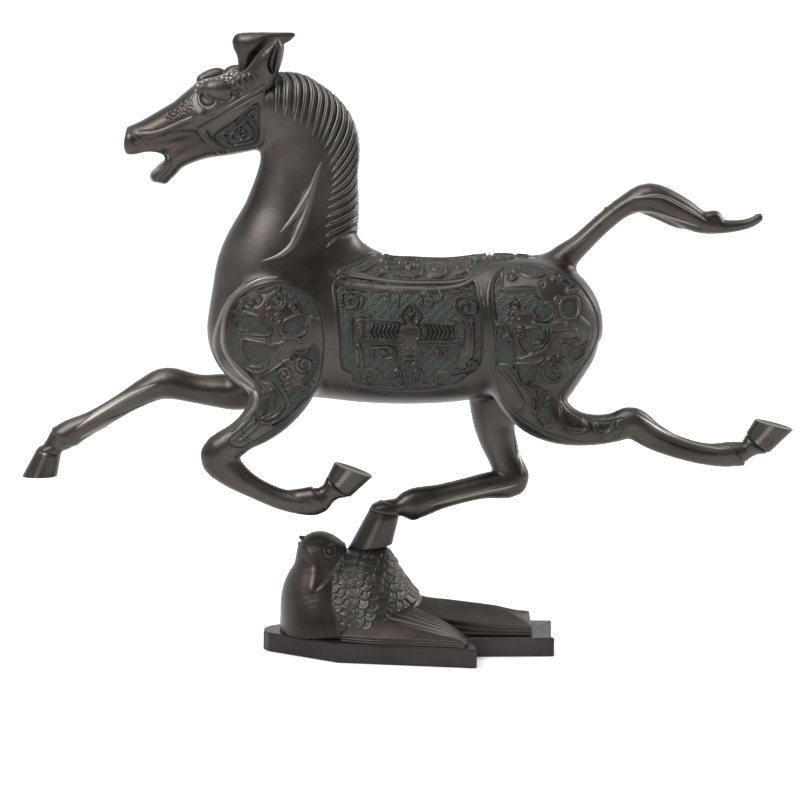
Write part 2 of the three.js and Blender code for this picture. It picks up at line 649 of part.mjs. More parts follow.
function ear(side) {
  const y = 12 * side;
  const rings = [
    [-75, -62, y * 0.78, 3, 271], [-76.8, -61.2, y, 4.2, 280], [-72.7, -59.7, y * 1.06, 4.4, 285.6],
    [-66.6, -59.5, y * 1.1, 3.2, 291], [-64.2, -60.6, y * 1.1, 1.8, 294.4], [-63.4, -62, y * 1.1, 0.5, 296.4],
  ];
  const hollow = [
    [-64.4, -61.6, y * 1.3, 1.4, 280.6], [-65.4, -60.9, y * 1.34, 3.2, 285.6],
    [-64.6, -60.6, y * 1.3, 2.4, 291], [-63.4, -61.4, y * 1.24, 0.9, 294.2],
  ];
  return skin(rings.map((r) => levelRing(r))).subtract(skin(hollow.map((r) => levelRing(r))));
}

// The forelock is tied into a knob whose flat cap streams back to a point.
function forelock() {
  const rings = [
    [[-82.6, -74, 0, 3.6, 274], 0], [[-81.6, -75.4, 0, 2.8, 280.6], 0], [[-81.6, -72.4, 0, 3.2, 285.4], 0.1],
    [[-82.4, -68, 0, 4.4, 288.4], 0.3], [[-83.6, -63, 0, 5.2, 291], 0.6],
    [[-83.9, -57.8, 0, 5.4, 293.4], 0.85],
    [[-82.6, -55, 0, 4.6, 295.8], 0.9], [[-79, -54, 0, 3, 297.5], 0.92],
  ];
  return skin(rings.map(([ring, taper]) => levelRing(ring, taper)));
}

function buildHorse() {
  const fine = meshForm(horseForm, [-190, -48, 42], [180, 48, 291], GRID_STEP);
  settle(fine.points, horseForm);
  let horse = toSolid(toGeometry(simplify(fine, HORSE_TRIANGLES, horseForm)));
  const add = (piece) => (horse = horse.add(piece));
  const draw = (side, line, width, height, tips) =>
    add(ridge(horseForm, fromSide(side), line, width, height, tips));

  // The open mouth and the flat end of the muzzle.
  const mouth = [
    [-140, 240.6], [-120, 240.8], [-117.2, 237.4], [-117.4, 235.4], [-124.5, 229.6], [-140, 226],
  ];
  const snout = [[-150, 262], [-133.6, 255.4], [-134.6, 251.6], [-136.1, 247.4], [-135.9, 238], [-150, 238]];
  const lip = [[-130, 233], [-123.6, 230.6], [-123.1, 227.4], [-121.2, 225.9], [-115, 223.8], [-130, 216]];
  for (const cut of [mouth, snout, lip]) horse = horse.subtract(slab(cut, -14, 14));

  add(hoof(-24, [[-29.2, 78], [-39.8, 88.6]], [[-16.6, 89.2], [-36, 96]], 6.2, 7.6));
  add(hoof(23, [[-181.8, 95.2], [-169.2, 92.8]], [[-188.9, 79.4], [-171.4, 80.7]], 6.2, 7.6));
  add(hoof(-24, [[170.4, 99.7], [158.4, 108]], [[182.2, 111.2], [163.8, 115.6]], 6.2, 7.6));
  add(hoof(2, [[-22.8, 61.8], [-6.2, 62.8]], [[-30.2, 48.6], [-8.2, 51.2]], 7, 8.4));
  for (const side of [NEAR, FAR]) {
    add(ear(side));
    for (const [crest, point] of LOCKS) {
      const middle = mix(crest, point, 0.5);
      draw(side, [crest, [middle[0] + 1.6, middle[1] + 1.2], point], 2, 1.5, [0.9, 0.4]);
    }
    // Eye and brow wrinkles.
    const eye = Array.from({ length: 9 }, (_, k) => (k % 8) * (Math.PI / 4));
    draw(side, eye.map((t) => [-95.2 + 3.4 * Math.cos(t), 266.6 + 3 * Math.sin(t)]), 0.9, 0.8);
    for (let k = 0; k < 4; k++) {
      draw(side, [[-85 + 3.4 * k, 275 + k], [-83 + 3.4 * k, 269.5 + 1.4 * k]], 1.3, 1);
    }
    HEAD_LINES.forEach(([line, width, height]) => draw(side, line, width, height));
    // The ridge down the neck and the rims of the panels.
    draw(side, [[-43, 234], [-47, 224], [-54, 211.6], [-60, 204.6]], 2, 1.1, [0.3, 0.3]);
    draw(side, [[-44, 229], [-48, 216], [-56, 198.6]], 2, 1.2, [0.3, 0.3]);
    FLANK_LINES.forEach((line, i) => (side === NEAR || i < 9) && draw(side, line, 0.9, 0.8));
    draw(side, [[-15.7, 195], [-25, 187.4], [-36.5, 182.6]], 1, 0.8);
    for (let k = 0; k < 5; k++) {
      draw(side, [[-15 + 4 * k, 160.4], [-17 + 4 * k, 158.2], [-15 + 4 * k, 156]], 0.8, 0.7);
      draw(side, [[4 + 4 * k, 160], [6 + 4 * k, 157.8], [4 + 4 * k, 155.6]], 0.8, 0.7);
    }
  }
  draw(NEAR, SHOULDER_RIM, 1.2, 1);
  draw(NEAR, SHOULDER_BAND, 1.3, 1.1);
  SHOULDER_LINES.forEach((line) => draw(NEAR, line, 0.9, 0.8));
  draw(NEAR, HAUNCH_RIM, 1.2, 1);
  HAUNCH_LINES.forEach((line) => draw(NEAR, line, 0.9, 0.8));
  draw(FAR, [...SHOULDER_RIM, [-55, 132], SHOULDER_RIM[0]], 1.2, 1);
  SHOULDER_LINES.slice(0, 6).forEach((line) => draw(FAR, line, 0.9, 0.8));
  draw(FAR, FAR_HAUNCH_RIM, 1.2, 1);
  HAUNCH_LINES.slice(0, 6).forEach((line) => draw(FAR, line, 0.9, 0.8));
  add(forelock());
  return simplify(fromSolid(horse), HORSE_TRIANGLES, horseForm);
}

// A wing or tail whose feathers run as flutes from section to section. Each section goes from one edge to
// the other over an arch, and its foot stands on the plinth.
function fluted(sections, flutes, depth) {
  const floor = PLINTH_TOP + SEAM;
  return skin(
    sections.map(([from, to, arch]) => {
      const top = Array.from({ length: 2 * flutes + 1 }, (_, k) => {
        const t = k / (2 * flutes);
        const [x, y, z] = mix(from, to, t);
        return [x, y, z + arch * Math.sin(Math.PI * t) - (k % 2 ? depth : 0)];
      });
      return [...top, [to[0], to[1], floor], [from[0], from[1], floor]];
    }),
  );
}

// One feather like a roof tile: its root is buried and its rounded end stands clear.
function scale(form, side, [x, z], radius) {
  const p = land(form, fromSide(side)([x, z]));
  const out = unit(slopeAt(form, p));
  const across = unit(cross([0.5, 0, -0.87], out));
  const along = unit(cross(out, across));
  const outline = [
    [-0.7, 0, -0.5], [0, 0.95, 0.3], [0.75, 0.65, 0.7], [1.1, 0, 0.9], [0.75, -0.65, 0.7], [0, -0.95, 0.3],
  ];
  const spot = (a, b, lift) => plus(plus(plus(p, along, a * radius), across, b * radius), out, lift);
  return skin([outline.map(([a, b]) => spot(a, b, -1.1)), outline.map(([a, b, lift]) => spot(a, b, lift))]);
}

const birdLimbs = [[limbForm(BIRD_BREAST), 0], [limbForm(BIRD_BACK), 9], [limbForm(BIRD_HEAD), 3]];
const birdForm = (x, y, z) =>
  birdLimbs.reduce((d, [limb, width]) => (width ? blend(d, limb(x, y, z), width) : limb(x, y, z)), 0);

function buildSwallow() {
  const fine = meshForm(birdForm, [-70, -40, -16], [14, 40, 64], GRID_STEP);
  settle(fine.points, birdForm);
  const floor = PLINTH_TOP + SEAM;
  let bird = toSolid(toGeometry(simplify(fine, SWALLOW_TRIANGLES, birdForm)));
  for (const side of [NEAR, FAR]) {
    const wing = [
      [[-31, 25, 12], [-4, 6, 25], 5], [[-16, 37, 11], [4, 14, 22.5], 3.4],
      [[5, 39, 10.8], [16, 23, 18.4], 2.2], [[26.5, 43.6, 10.6], [28, 38, 12.6], 0.4],
    ];
    const toSide = ([x, y, z]) => [x, side * y, z];
    bird = bird.add(fluted(wing.map(([from, to, arch]) => [toSide(from), toSide(to), arch]), 7, 0.9));
    for (let row = 0; row < 6; row++)
      for (let k = 0; k < 4; k++) {
        const spot = [-28 + 5.6 * k + (row % 2) * 2.8, 45.5 - 5.5 * row];
        bird = bird.add(scale(birdForm, side, spot, 3.5));
      }
    const throat = [[-31.5, 47], [-38, 38], [-46, 31]];
    bird = bird.add(ridge(birdForm, fromSide(side), throat, 1.2, 0.9, [0.3, 0.3]));
    const eye = Array.from({ length: 9 }, (_, k) => (k % 8) * (Math.PI / 4));
    const lid = eye.map((t) => [-39 + 2.2 * Math.cos(t), 50.4 + 2.2 * Math.sin(t)]);
    bird = bird.add(ridge(birdForm, fromSide(side), lid, 0.7, 0.6));
  }
  const tail = [
    [[-6, -15, 20], [-6, 15, 20], 6], [[12, -15, 20.4], [12, 15, 20.4], 4.2],
    [[36, -15, 17.2], [36, 15, 17.2], 3.4],
    [[58.4, -17.5, 14.4], [58.4, 17.5, 14.4], 1.8],
  ];
  const fork = [[48, 0], [62, -11], [62, 11]];
  bird = bird.add(fluted(tail, 9, 1)).subtract(skin([5, 30].map((z) => fork.map(([x, y]) => [x, y, z]))));
  const under = [[-80, floor], [80, floor], [80, -30], [-80, -30]];
  const seat = [[-31, 48.2], [-4, 51.3], [-4, 70], [-31, 70]];
  bird = bird.subtract(slab(under, -70, 70)).subtract(slab(seat, -20, 24));
  return simplify(fromSolid(bird), SWALLOW_TRIANGLES, birdForm);
}

// The plinth repeats the bird's outline seen from above: pointed breast, swept wings and forked tail.
function buildPlinth() {
  const half = [[-70.8, 4], [-68.2, 8.5], [-34.8, 34], [31.6, 46.5], [28.7, 21], [69.2, 20]];
  const outline = [...half, [61.6, 0], ...[...half].reverse().map(([x, y]) => [x, -y])];
  const inset = (k) => outline.map(([x, y]) => [x * k, y * k]);
  const levels = [[0, 0.994], [0.5, 1], [PLINTH_TOP - 0.5, 1], [PLINTH_TOP, 0.994]];
  return fromSolid(skin(levels.map(([z, k]) => inset(k).map(([x, y]) => [x, y, z]))));
}

const statue = new THREE.Group();
const parts = {
  horse: [buildHorse(), 0x463d38],
  swallow: [buildSwallow(), 0x423934],
  plinth: [buildPlinth(), 0x3f3733],
};
for (const [name, [solid, color]] of Object.entries(parts)) {
  const material = new THREE.MeshStandardMaterial({ color, roughness: 0.42, metalness: 0.85 });
  const geometry = toGeometry(solid);
  geometry.computeVertexNormals();
  const mesh = new THREE.Mesh(geometry, material);
  mesh.name = name;
  statue.add(mesh);
}

export default statue;
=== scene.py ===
# The galloping bronze horse on its swallow, in the frame of model.glb. Tables are in millimetres: the horse faces -X
# and its near side is -Y. A point of a drawing on its side is (x, z), and one on its back is (x, y).
import math
from concurrent.futures import ThreadPoolExecutor

import bpy
import numpy as np
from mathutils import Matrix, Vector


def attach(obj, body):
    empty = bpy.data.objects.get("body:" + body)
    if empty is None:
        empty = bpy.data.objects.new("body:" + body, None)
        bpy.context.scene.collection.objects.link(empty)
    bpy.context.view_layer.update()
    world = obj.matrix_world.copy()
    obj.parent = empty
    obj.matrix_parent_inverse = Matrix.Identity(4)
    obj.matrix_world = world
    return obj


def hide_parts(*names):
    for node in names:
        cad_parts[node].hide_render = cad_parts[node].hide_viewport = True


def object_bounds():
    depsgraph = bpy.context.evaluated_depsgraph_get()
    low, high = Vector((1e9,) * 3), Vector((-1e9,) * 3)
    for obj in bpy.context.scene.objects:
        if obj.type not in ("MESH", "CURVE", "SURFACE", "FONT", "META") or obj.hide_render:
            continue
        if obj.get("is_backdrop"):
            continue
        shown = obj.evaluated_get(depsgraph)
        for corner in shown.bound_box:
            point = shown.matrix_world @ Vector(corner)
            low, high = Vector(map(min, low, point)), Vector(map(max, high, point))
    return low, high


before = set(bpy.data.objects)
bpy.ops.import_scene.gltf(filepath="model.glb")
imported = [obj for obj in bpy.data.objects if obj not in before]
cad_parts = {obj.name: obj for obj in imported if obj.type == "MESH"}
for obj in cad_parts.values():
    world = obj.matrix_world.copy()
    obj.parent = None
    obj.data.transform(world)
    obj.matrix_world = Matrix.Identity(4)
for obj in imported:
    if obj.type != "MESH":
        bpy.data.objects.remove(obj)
cad_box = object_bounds()

MM = 0.001
NEAR, FAR = -1, 1
SIDES = ((NEAR, "near"), (FAR, "far"))
BODY_STEP = 1.3
HEAD_STEP = 0.45
BIRD_STEP = 0.5
CARVING_STEP = 0.32
# How far the body lies lower under a carved skin, how thick that skin is, and how deep its grounds are sunk.
BED, SKIN, GROUND_DEPTH = 1.6, 2, 0.85
# The relief value of the most rubbed and highlighted edges: their light colour is partly wear and partly a painted
# highlight. Plain bronze has 1, and the green of a recess 0.
WORN_AND_LIT = 1.3
PLINTH_TOP = 9.3

# A limb walks through stations (x, y, z, half thickness in the upright plane, half width across).
TORSO = [
    (-67, 0, 152.5, 27.2, 24), (-42, 0, 157.2, 34.3, 28), (-12, 0, 155.5, 35.4, 30),
    (18, 0, 155.4, 34.6, 30.5), (42, 0, 158.8, 33.4, 29), (59.6, 0, 160, 30.6, 27),
]
NECK = [
    (-66, 0, 160, 28.5, 24), (-62, 0, 182, 30.8, 22), (-53, 0, 206, 27.6, 17),
    (-48.8, 0, 230, 23.4, 13.5), (-48.4, 0, 247, 22.8, 12), (-55.5, 0, 262, 16, 11.5),
]
SKULL = [
    (-64, 0, 263.5, 13, 11.5), (-82, 0, 264, 12.6, 12), (-97, 0, 260.2, 11.4, 11.2),
    (-111, 0, 254.6, 9.4, 9), (-123, 0, 249, 8.2, 7.8), (-131, 0, 246, 7.6, 7.4),
]
JAW = [
    (-74, 0, 254, 12, 10), (-86, 0, 250.8, 11.2, 9.5), (-97, 0, 247, 9, 8.5), (-105, 0, 242.6, 7, 7.4),
    (-111.5, 0, 238.2, 5.8, 6.6), (-115, 0, 233.6, 5, 6), (-120, 0, 229.2, 5.4, 5.2), (-123.6, 0, 224.8, 5.4, 5),
]
LIPS = [
    (-94, 0, 251, 5, 7), (-102, 0, 249, 5, 7.4), (-110, 0, 246.4, 5, 7.6), (-118, 0, 244.6, 4.6, 7.2),
    (-126, 0, 243.6, 4, 6.8), (-132, 0, 243.2, 3.8, 6.4),
]
FOREHEAD = [
    (-105, 0, 263.6, 4.8, 6.6), (-101, 0, 267.2, 5.2, 7), (-97, 0, 270, 5.4, 7.2), (-90, 0, 271.8, 5.2, 7.4),
    (-82, 0, 274, 5.8, 7), (-76, 0, 275, 5.8, 7),
]
NEAR_BROW = [
    (-97.4, -8, 271.4, 2.8, 2.6), (-93.4, -8.8, 271.6, 4.6, 4), (-89, -9.2, 271.4, 4.8, 4.2),
    (-85.4, -9.2, 272, 3.4, 3.4), (-80, -9.4, 275.2, 4, 3.6), (-74, -9.8, 277, 4, 3.6), (-70, -10, 276.8, 3.8, 3.6),
]
NEAR_FURROW = [
    (-99, -8.4, 271.2, 0.5, 0.5), (-97, -6.6, 273.4, 0.55, 0.6), (-92, -5.6, 275.2, 0.6, 0.7),
    (-88, -5.6, 275.8, 0.6, 0.7), (-85, -7, 275.8, 0.55, 0.6), (-83.4, -9, 275.4, 0.4, 0.4),
]
FAR_BROW = [
    (-98.4, 9, 274.2, 3.4, 3), (-95, 10, 275.4, 4, 3.6), (-91.6, 10.4, 276.2, 4, 3.8), (-88, 10, 275.2, 3.6, 3.6),
    (-84.4, 9.6, 277.6, 3.8, 3.6), (-80, 9.4, 277.8, 3.8, 3.6), (-74, 9.8, 277.6, 4, 3.6),
    (-70, 10, 276.8, 3.8, 3.6),
]
NEAR_FORELEG = [
    (-64, -13, 161, 24, 17), (-62, -16, 146, 22.5, 15), (-61, -19, 132, 16, 12.5),
    (-66, -21.5, 120.5, 11.8, 10), (-72.8, -23, 113, 9.2, 8.6), (-80.8, -24, 107.4, 7.6, 7.4),
    (-90.8, -24, 98.6, 8.8, 7.4), (-85, -24, 90.6, 7.2, 6.6), (-74.2, -24, 83.2, 5.2, 5.4),
    (-59.5, -24, 77, 5.1, 5.3), (-45.8, -24, 76.4, 6.6, 6.2), (-39.6, -24, 79.4, 4.4, 4.6),
    (-35, -24, 83, 5, 5),
]
FAR_FORELEG = [
    (-64, 13, 161, 24, 17), (-63, 16, 147, 23, 15), (-68, 19, 133, 15, 12), (-82, 21, 123.2, 9.8, 9),
    (-93, 22, 122.6, 8.2, 8.2), (-104, 22.5, 123.6, 7.1, 7.4), (-117.5, 23, 126.2, 7.6, 7.4),
    (-127, 23, 123.3, 6.3, 6.6), (-140, 23, 115.9, 5, 5.3), (-153.5, 23, 107.6, 5.3, 5.2),
    (-167, 23, 100.6, 6.6, 6.2), (-172.5, 23, 96, 4.8, 4.9), (-175.5, 23, 91, 5, 5),
]
NEAR_HIND_LEG = [
    (60.6, -12, 158, 31, 21), (58.5, -15.5, 141.5, 23.4, 18), (57.5, -18.5, 130, 17.2, 15),
    (61.5, -20.5, 121, 13.4, 12.5), (69, -22.5, 115, 10.6, 10), (78, -24, 111.8, 8.4, 8.6),
    (88, -24, 111, 7.3, 7.6), (97, -24, 112.2, 7, 7), (105.5, -24, 114.2, 7.6, 6.8),
    (115.3, -24, 107.9, 6.4, 6), (127, -24, 102.6, 5.3, 5.2), (140.5, -24, 99.3, 5.2, 5.3),
    (153, -24, 99.3, 6, 6), (160, -24, 101.4, 4.2, 4.6), (165, -24, 104.5, 5, 5),
]
FAR_HIND_LEG = [
    (59, 12, 158, 30.5, 21), (54, 15, 142, 23.5, 18.5), (46, 17.5, 128, 18, 15.5), (41, 18, 112, 11.2, 11),
    (42.2, 16.5, 101, 9, 9), (46, 14.5, 90, 7.6, 7.6), (49.2, 12.5, 80.2, 8, 7), (34, 10, 77.5, 6.1, 6),
    (16, 7.5, 73.4, 6, 5.6), (2.4, 5, 70.2, 7.5, 6.2), (-5.2, 4, 68.8, 4.4, 5.3), (-12, 2.7, 65.8, 6, 5.8),
    (-14.8, 2, 59, 7, 6.2),
]
TAIL = [
    (62, 0, 180, 8, 9), (73.5, 0, 190.2, 6.6, 7.5), (81, 0, 196.6, 5.2, 6), (91, 0, 206.1, 4.7, 5.2),
    (102.4, 0, 215.1, 5, 6), (114, 0, 219, 7, 7.5), (127, 0, 213.8, 6.8, 7), (137, 0, 208, 5.6, 5.5),
    (147, 0, 205.4, 3.6, 4.6), (157, 0, 205.8, 2.6, 3.4), (163, 0, 207.4, 2.3, 2.8),
    (166.4, 0, 209.6, 2, 2.2),
]
TAIL_KNOT = [(142.6, 0, 209.8, 2.8, 4.6), (145.4, 0, 209.4, 3.4, 4.4), (147.4, 0, 206.8, 2.2, 4)]
WITHERS = [(-40, 0, 187.4, 12, 12), (-28, 0, 189, 8, 9), (-19, 0, 187.4, 5, 8)]
FAR_ERGOT = [(2, 4.5, 68, 5, 5), (1.4, 4.5, 62.8, 1.2, 1.4)]
BIRD_HEAD = [
    (-43, 0, 45.4, 11, 10.6), (-43.8, 0, 46.4, 11, 10.2), (-48.6, 0, 50.8, 4, 4.4), (-50.6, 0, 53, 2.1, 2.4),
    (-52.9, 0, 54.7, 0.7, 0.9),
]
BIRD_BREAST = [
    (-40.5, 0, 44, 9.2, 9), (-43.6, 0, 35, 13.4, 13.5), (-44, 0, 26, 18, 19.5), (-42.4, 0, 15, 20.4, 24),
    (-42.4, 0, 8, 20.6, 25),
]
BIRD_BACK = [
    (-31, 0, 37, 11, 11), (-20.4, 0, 39, 12.6, 12), (-21, 0, 31, 17.6, 19), (-19.5, 0, 21, 20.8, 26),
    (-18, 0, 10, 22.4, 31),
]
BIRD_RUMP = [(-14, 0, 25, 13, 17), (-5, 0, 19.4, 11.4, 16), (3, 0, 14.6, 10, 14), (8, 0, 11, 8, 12)]
BIRD_EYE = (-38.3, 50)
# The height of the swallow's spine, as (x, z).
SPINE = [(-40, 46), (-31, 50), (-20, 51), (-9, 46), (-2, 30.4), (8, 26.4), (16, 24)]


# Drawings of the carving, as points (x, z) on the near side. A spiral is (x, z, radius, turns, start, hand).
SHOULDER = {
    "outline": [(-70.8, 132.4), (-79.3, 139.7), (-85.6, 147.6), (-87.3, 158.5), (-85, 167.6), (-79.9, 175.5),
        (-72.1, 179.6), (-63, 181), (-53.3, 178.8), (-46.1, 174), (-41.9, 166.4), (-40.6, 156.7), (-41.3, 144.5),
        (-43.4, 132.4), (-52, 123.2), (-60.3, 114.4), (-70.8, 107.8), (-78, 103.6), (-83.4, 104), (-85.6, 107.6),
        (-75.8, 116.6), (-71.8, 125.7)],
    "grounds": [
        [(-81.1, 173.1), (-78.7, 176.1), (-75.1, 177.9), (-72.7, 177.9), (-71.4, 175.5), (-70.8, 173.7),
            (-72.7, 171.8), (-74.5, 173.7), (-76.9, 174.6), (-79, 173.1), (-79.3, 170), (-81.1, 168.2),
            (-82.9, 168.2)],
        [(-72.1, 178.2), (-67.8, 180), (-63, 180.6), (-63, 180.2), (-66.6, 178.3), (-70.2, 177.8)],
        [(-60.9, 179.6), (-54.6, 178.3), (-48.5, 174.9), (-44.6, 170), (-43.4, 165.8), (-46.1, 166.4),
            (-47.9, 165.8), (-50.9, 167.6), (-52.7, 168.2), (-54, 170.6), (-57, 173.7), (-59.4, 174.9),
            (-60.9, 176.7)],
        [(-79.3, 165.8), (-73.9, 165.8), (-70.2, 163.3), (-66.6, 160.9), (-66, 159.4), (-67.2, 157.6),
            (-73.3, 157.6), (-76.3, 159.4), (-79.9, 159.4), (-82, 161.5), (-81.4, 164.6)],
        [(-59.1, 163.3), (-55.2, 165.2), (-50.9, 166.7), (-47.9, 165.5), (-49.1, 162.7), (-49.1, 159.7),
            (-51.5, 157.6), (-57, 157.3), (-59.7, 157.9), (-60.3, 160.3)],
        [(-79.3, 154.2), (-73.9, 153.6), (-68.4, 152.7), (-65.4, 151.8), (-63, 150.6), (-65.4, 147.6), (-69, 144.2),
            (-73.3, 142.4), (-76, 143.9), (-78.1, 147.6), (-79.3, 150.6)],
        [(-86.2, 158.5), (-83.5, 159.7), (-81.1, 157.3), (-80.5, 153.6), (-79.9, 147.6), (-77.5, 142.7),
            (-73.3, 139.1), (-75.1, 136.6), (-81.1, 142.1), (-84.7, 147.6), (-86.2, 153.6)],
        [(-57, 148.2), (-53.3, 149.4), (-48.5, 150), (-47.3, 151.8), (-44.9, 151.2), (-43.1, 147.6), (-43.1, 141.5),
            (-46.1, 136.6), (-48.5, 133.6), (-50.9, 134.2), (-47.3, 138.5), (-46.1, 142.7), (-47.9, 145.7),
            (-52.1, 146.3), (-55.8, 145.1)],
        [(-69, 137.8), (-65.4, 139.7), (-61.8, 142.1), (-59.4, 143.9), (-58.2, 142.1), (-61.8, 140.3),
            (-63.6, 136.6), (-61.8, 133.6), (-65.4, 134.2), (-69, 134.8), (-70.8, 136)],
        [(-65.4, 130.6), (-63.6, 127.5), (-63.6, 123.3), (-66, 120.2), (-69.6, 119), (-67.8, 123.3),
            (-67.2, 126.9)],
        [(-57, 130.6), (-50.9, 131.8), (-46.1, 133.6), (-48.5, 127.5), (-54.6, 120.8), (-60.6, 116), (-65.4, 114.2),
            (-60.6, 118.4), (-57, 123.9)],
    ],
    "lines": [
        [(-79, 170.6), (-78.7, 167.9), (-75.1, 167), (-71.7, 165.8), (-69, 162.7), (-65.7, 160.3), (-66.3, 157.6),
            (-70.8, 157), (-75.1, 157.4), (-76.9, 159), (-81.1, 158.8)],
        [(-59.4, 157.6), (-52.1, 157), (-49.4, 159.1), (-49.1, 161.5), (-50.3, 161.8)],
        [(-66.6, 156.7), (-66.3, 153.6), (-63, 153.1), (-59.7, 154.2), (-59.1, 156.1), (-53.3, 155.8),
            (-51.5, 154.2)],
        [(-79.6, 154.2), (-79.6, 147.6), (-76.3, 142.4), (-72.7, 141.5), (-70.2, 142.1)],
        [(-48.5, 150), (-49.1, 149.1), (-55.8, 148.5), (-56.7, 147.3), (-57, 145.7), (-60, 144.8)],
        [(-81.1, 145.1), (-77.5, 140.9), (-72.7, 139.1), (-67.8, 140.9), (-65.4, 144.5)],
        [(-72.1, 177.9), (-70.2, 177.6), (-66.6, 178.2), (-63, 180.3), (-61.5, 180), (-62.1, 176.7), (-60, 174.9)],
        [(-65.4, 134.8), (-62.4, 130.6), (-60, 125.1), (-62.4, 119.6), (-67.2, 117.5), (-72.1, 118.1)],
        [(-61.8, 134.2), (-58.8, 129.3), (-57.6, 123.9), (-60.6, 117.8), (-66, 115.4), (-71.4, 116)],
        [(-70.2, 130.6), (-67.8, 126.3), (-69, 121.5), (-72.7, 117.8)],
        [(-81.7, 113), (-78.7, 109.3), (-75.1, 105.7)],
        [(-84.1, 111.1), (-73.9, 117.8), (-71.4, 115.4), (-80.5, 106.9)],
    ],
    "studs": [(-67.5, 171.1), (-67.2, 166.1), (-82.6, 108.4), (-78.4, 112), (-73.9, 116)],
    "spirals": [(-76, 171.2, 2.8, 1.5, 170, 1), (-63, 172.8, 2.8, 1.5, 0, -1), (-62.7, 165.5, 2.8, 1.4, 60, 1),
        (-54, 169.7, 2.8, 1.3, -60, -1), (-49.7, 143, 4, 1.7, 90, 1), (-59.1, 138.5, 4.6, 1.7, 200, -1)],
}
SHOULDER["far"] = [
    (-71, 132.4), *SHOULDER["outline"][1:13],
    (-44.5, 137), (-52, 131.5), (-60, 127.4), (-68, 124), (-73, 125.6),
]
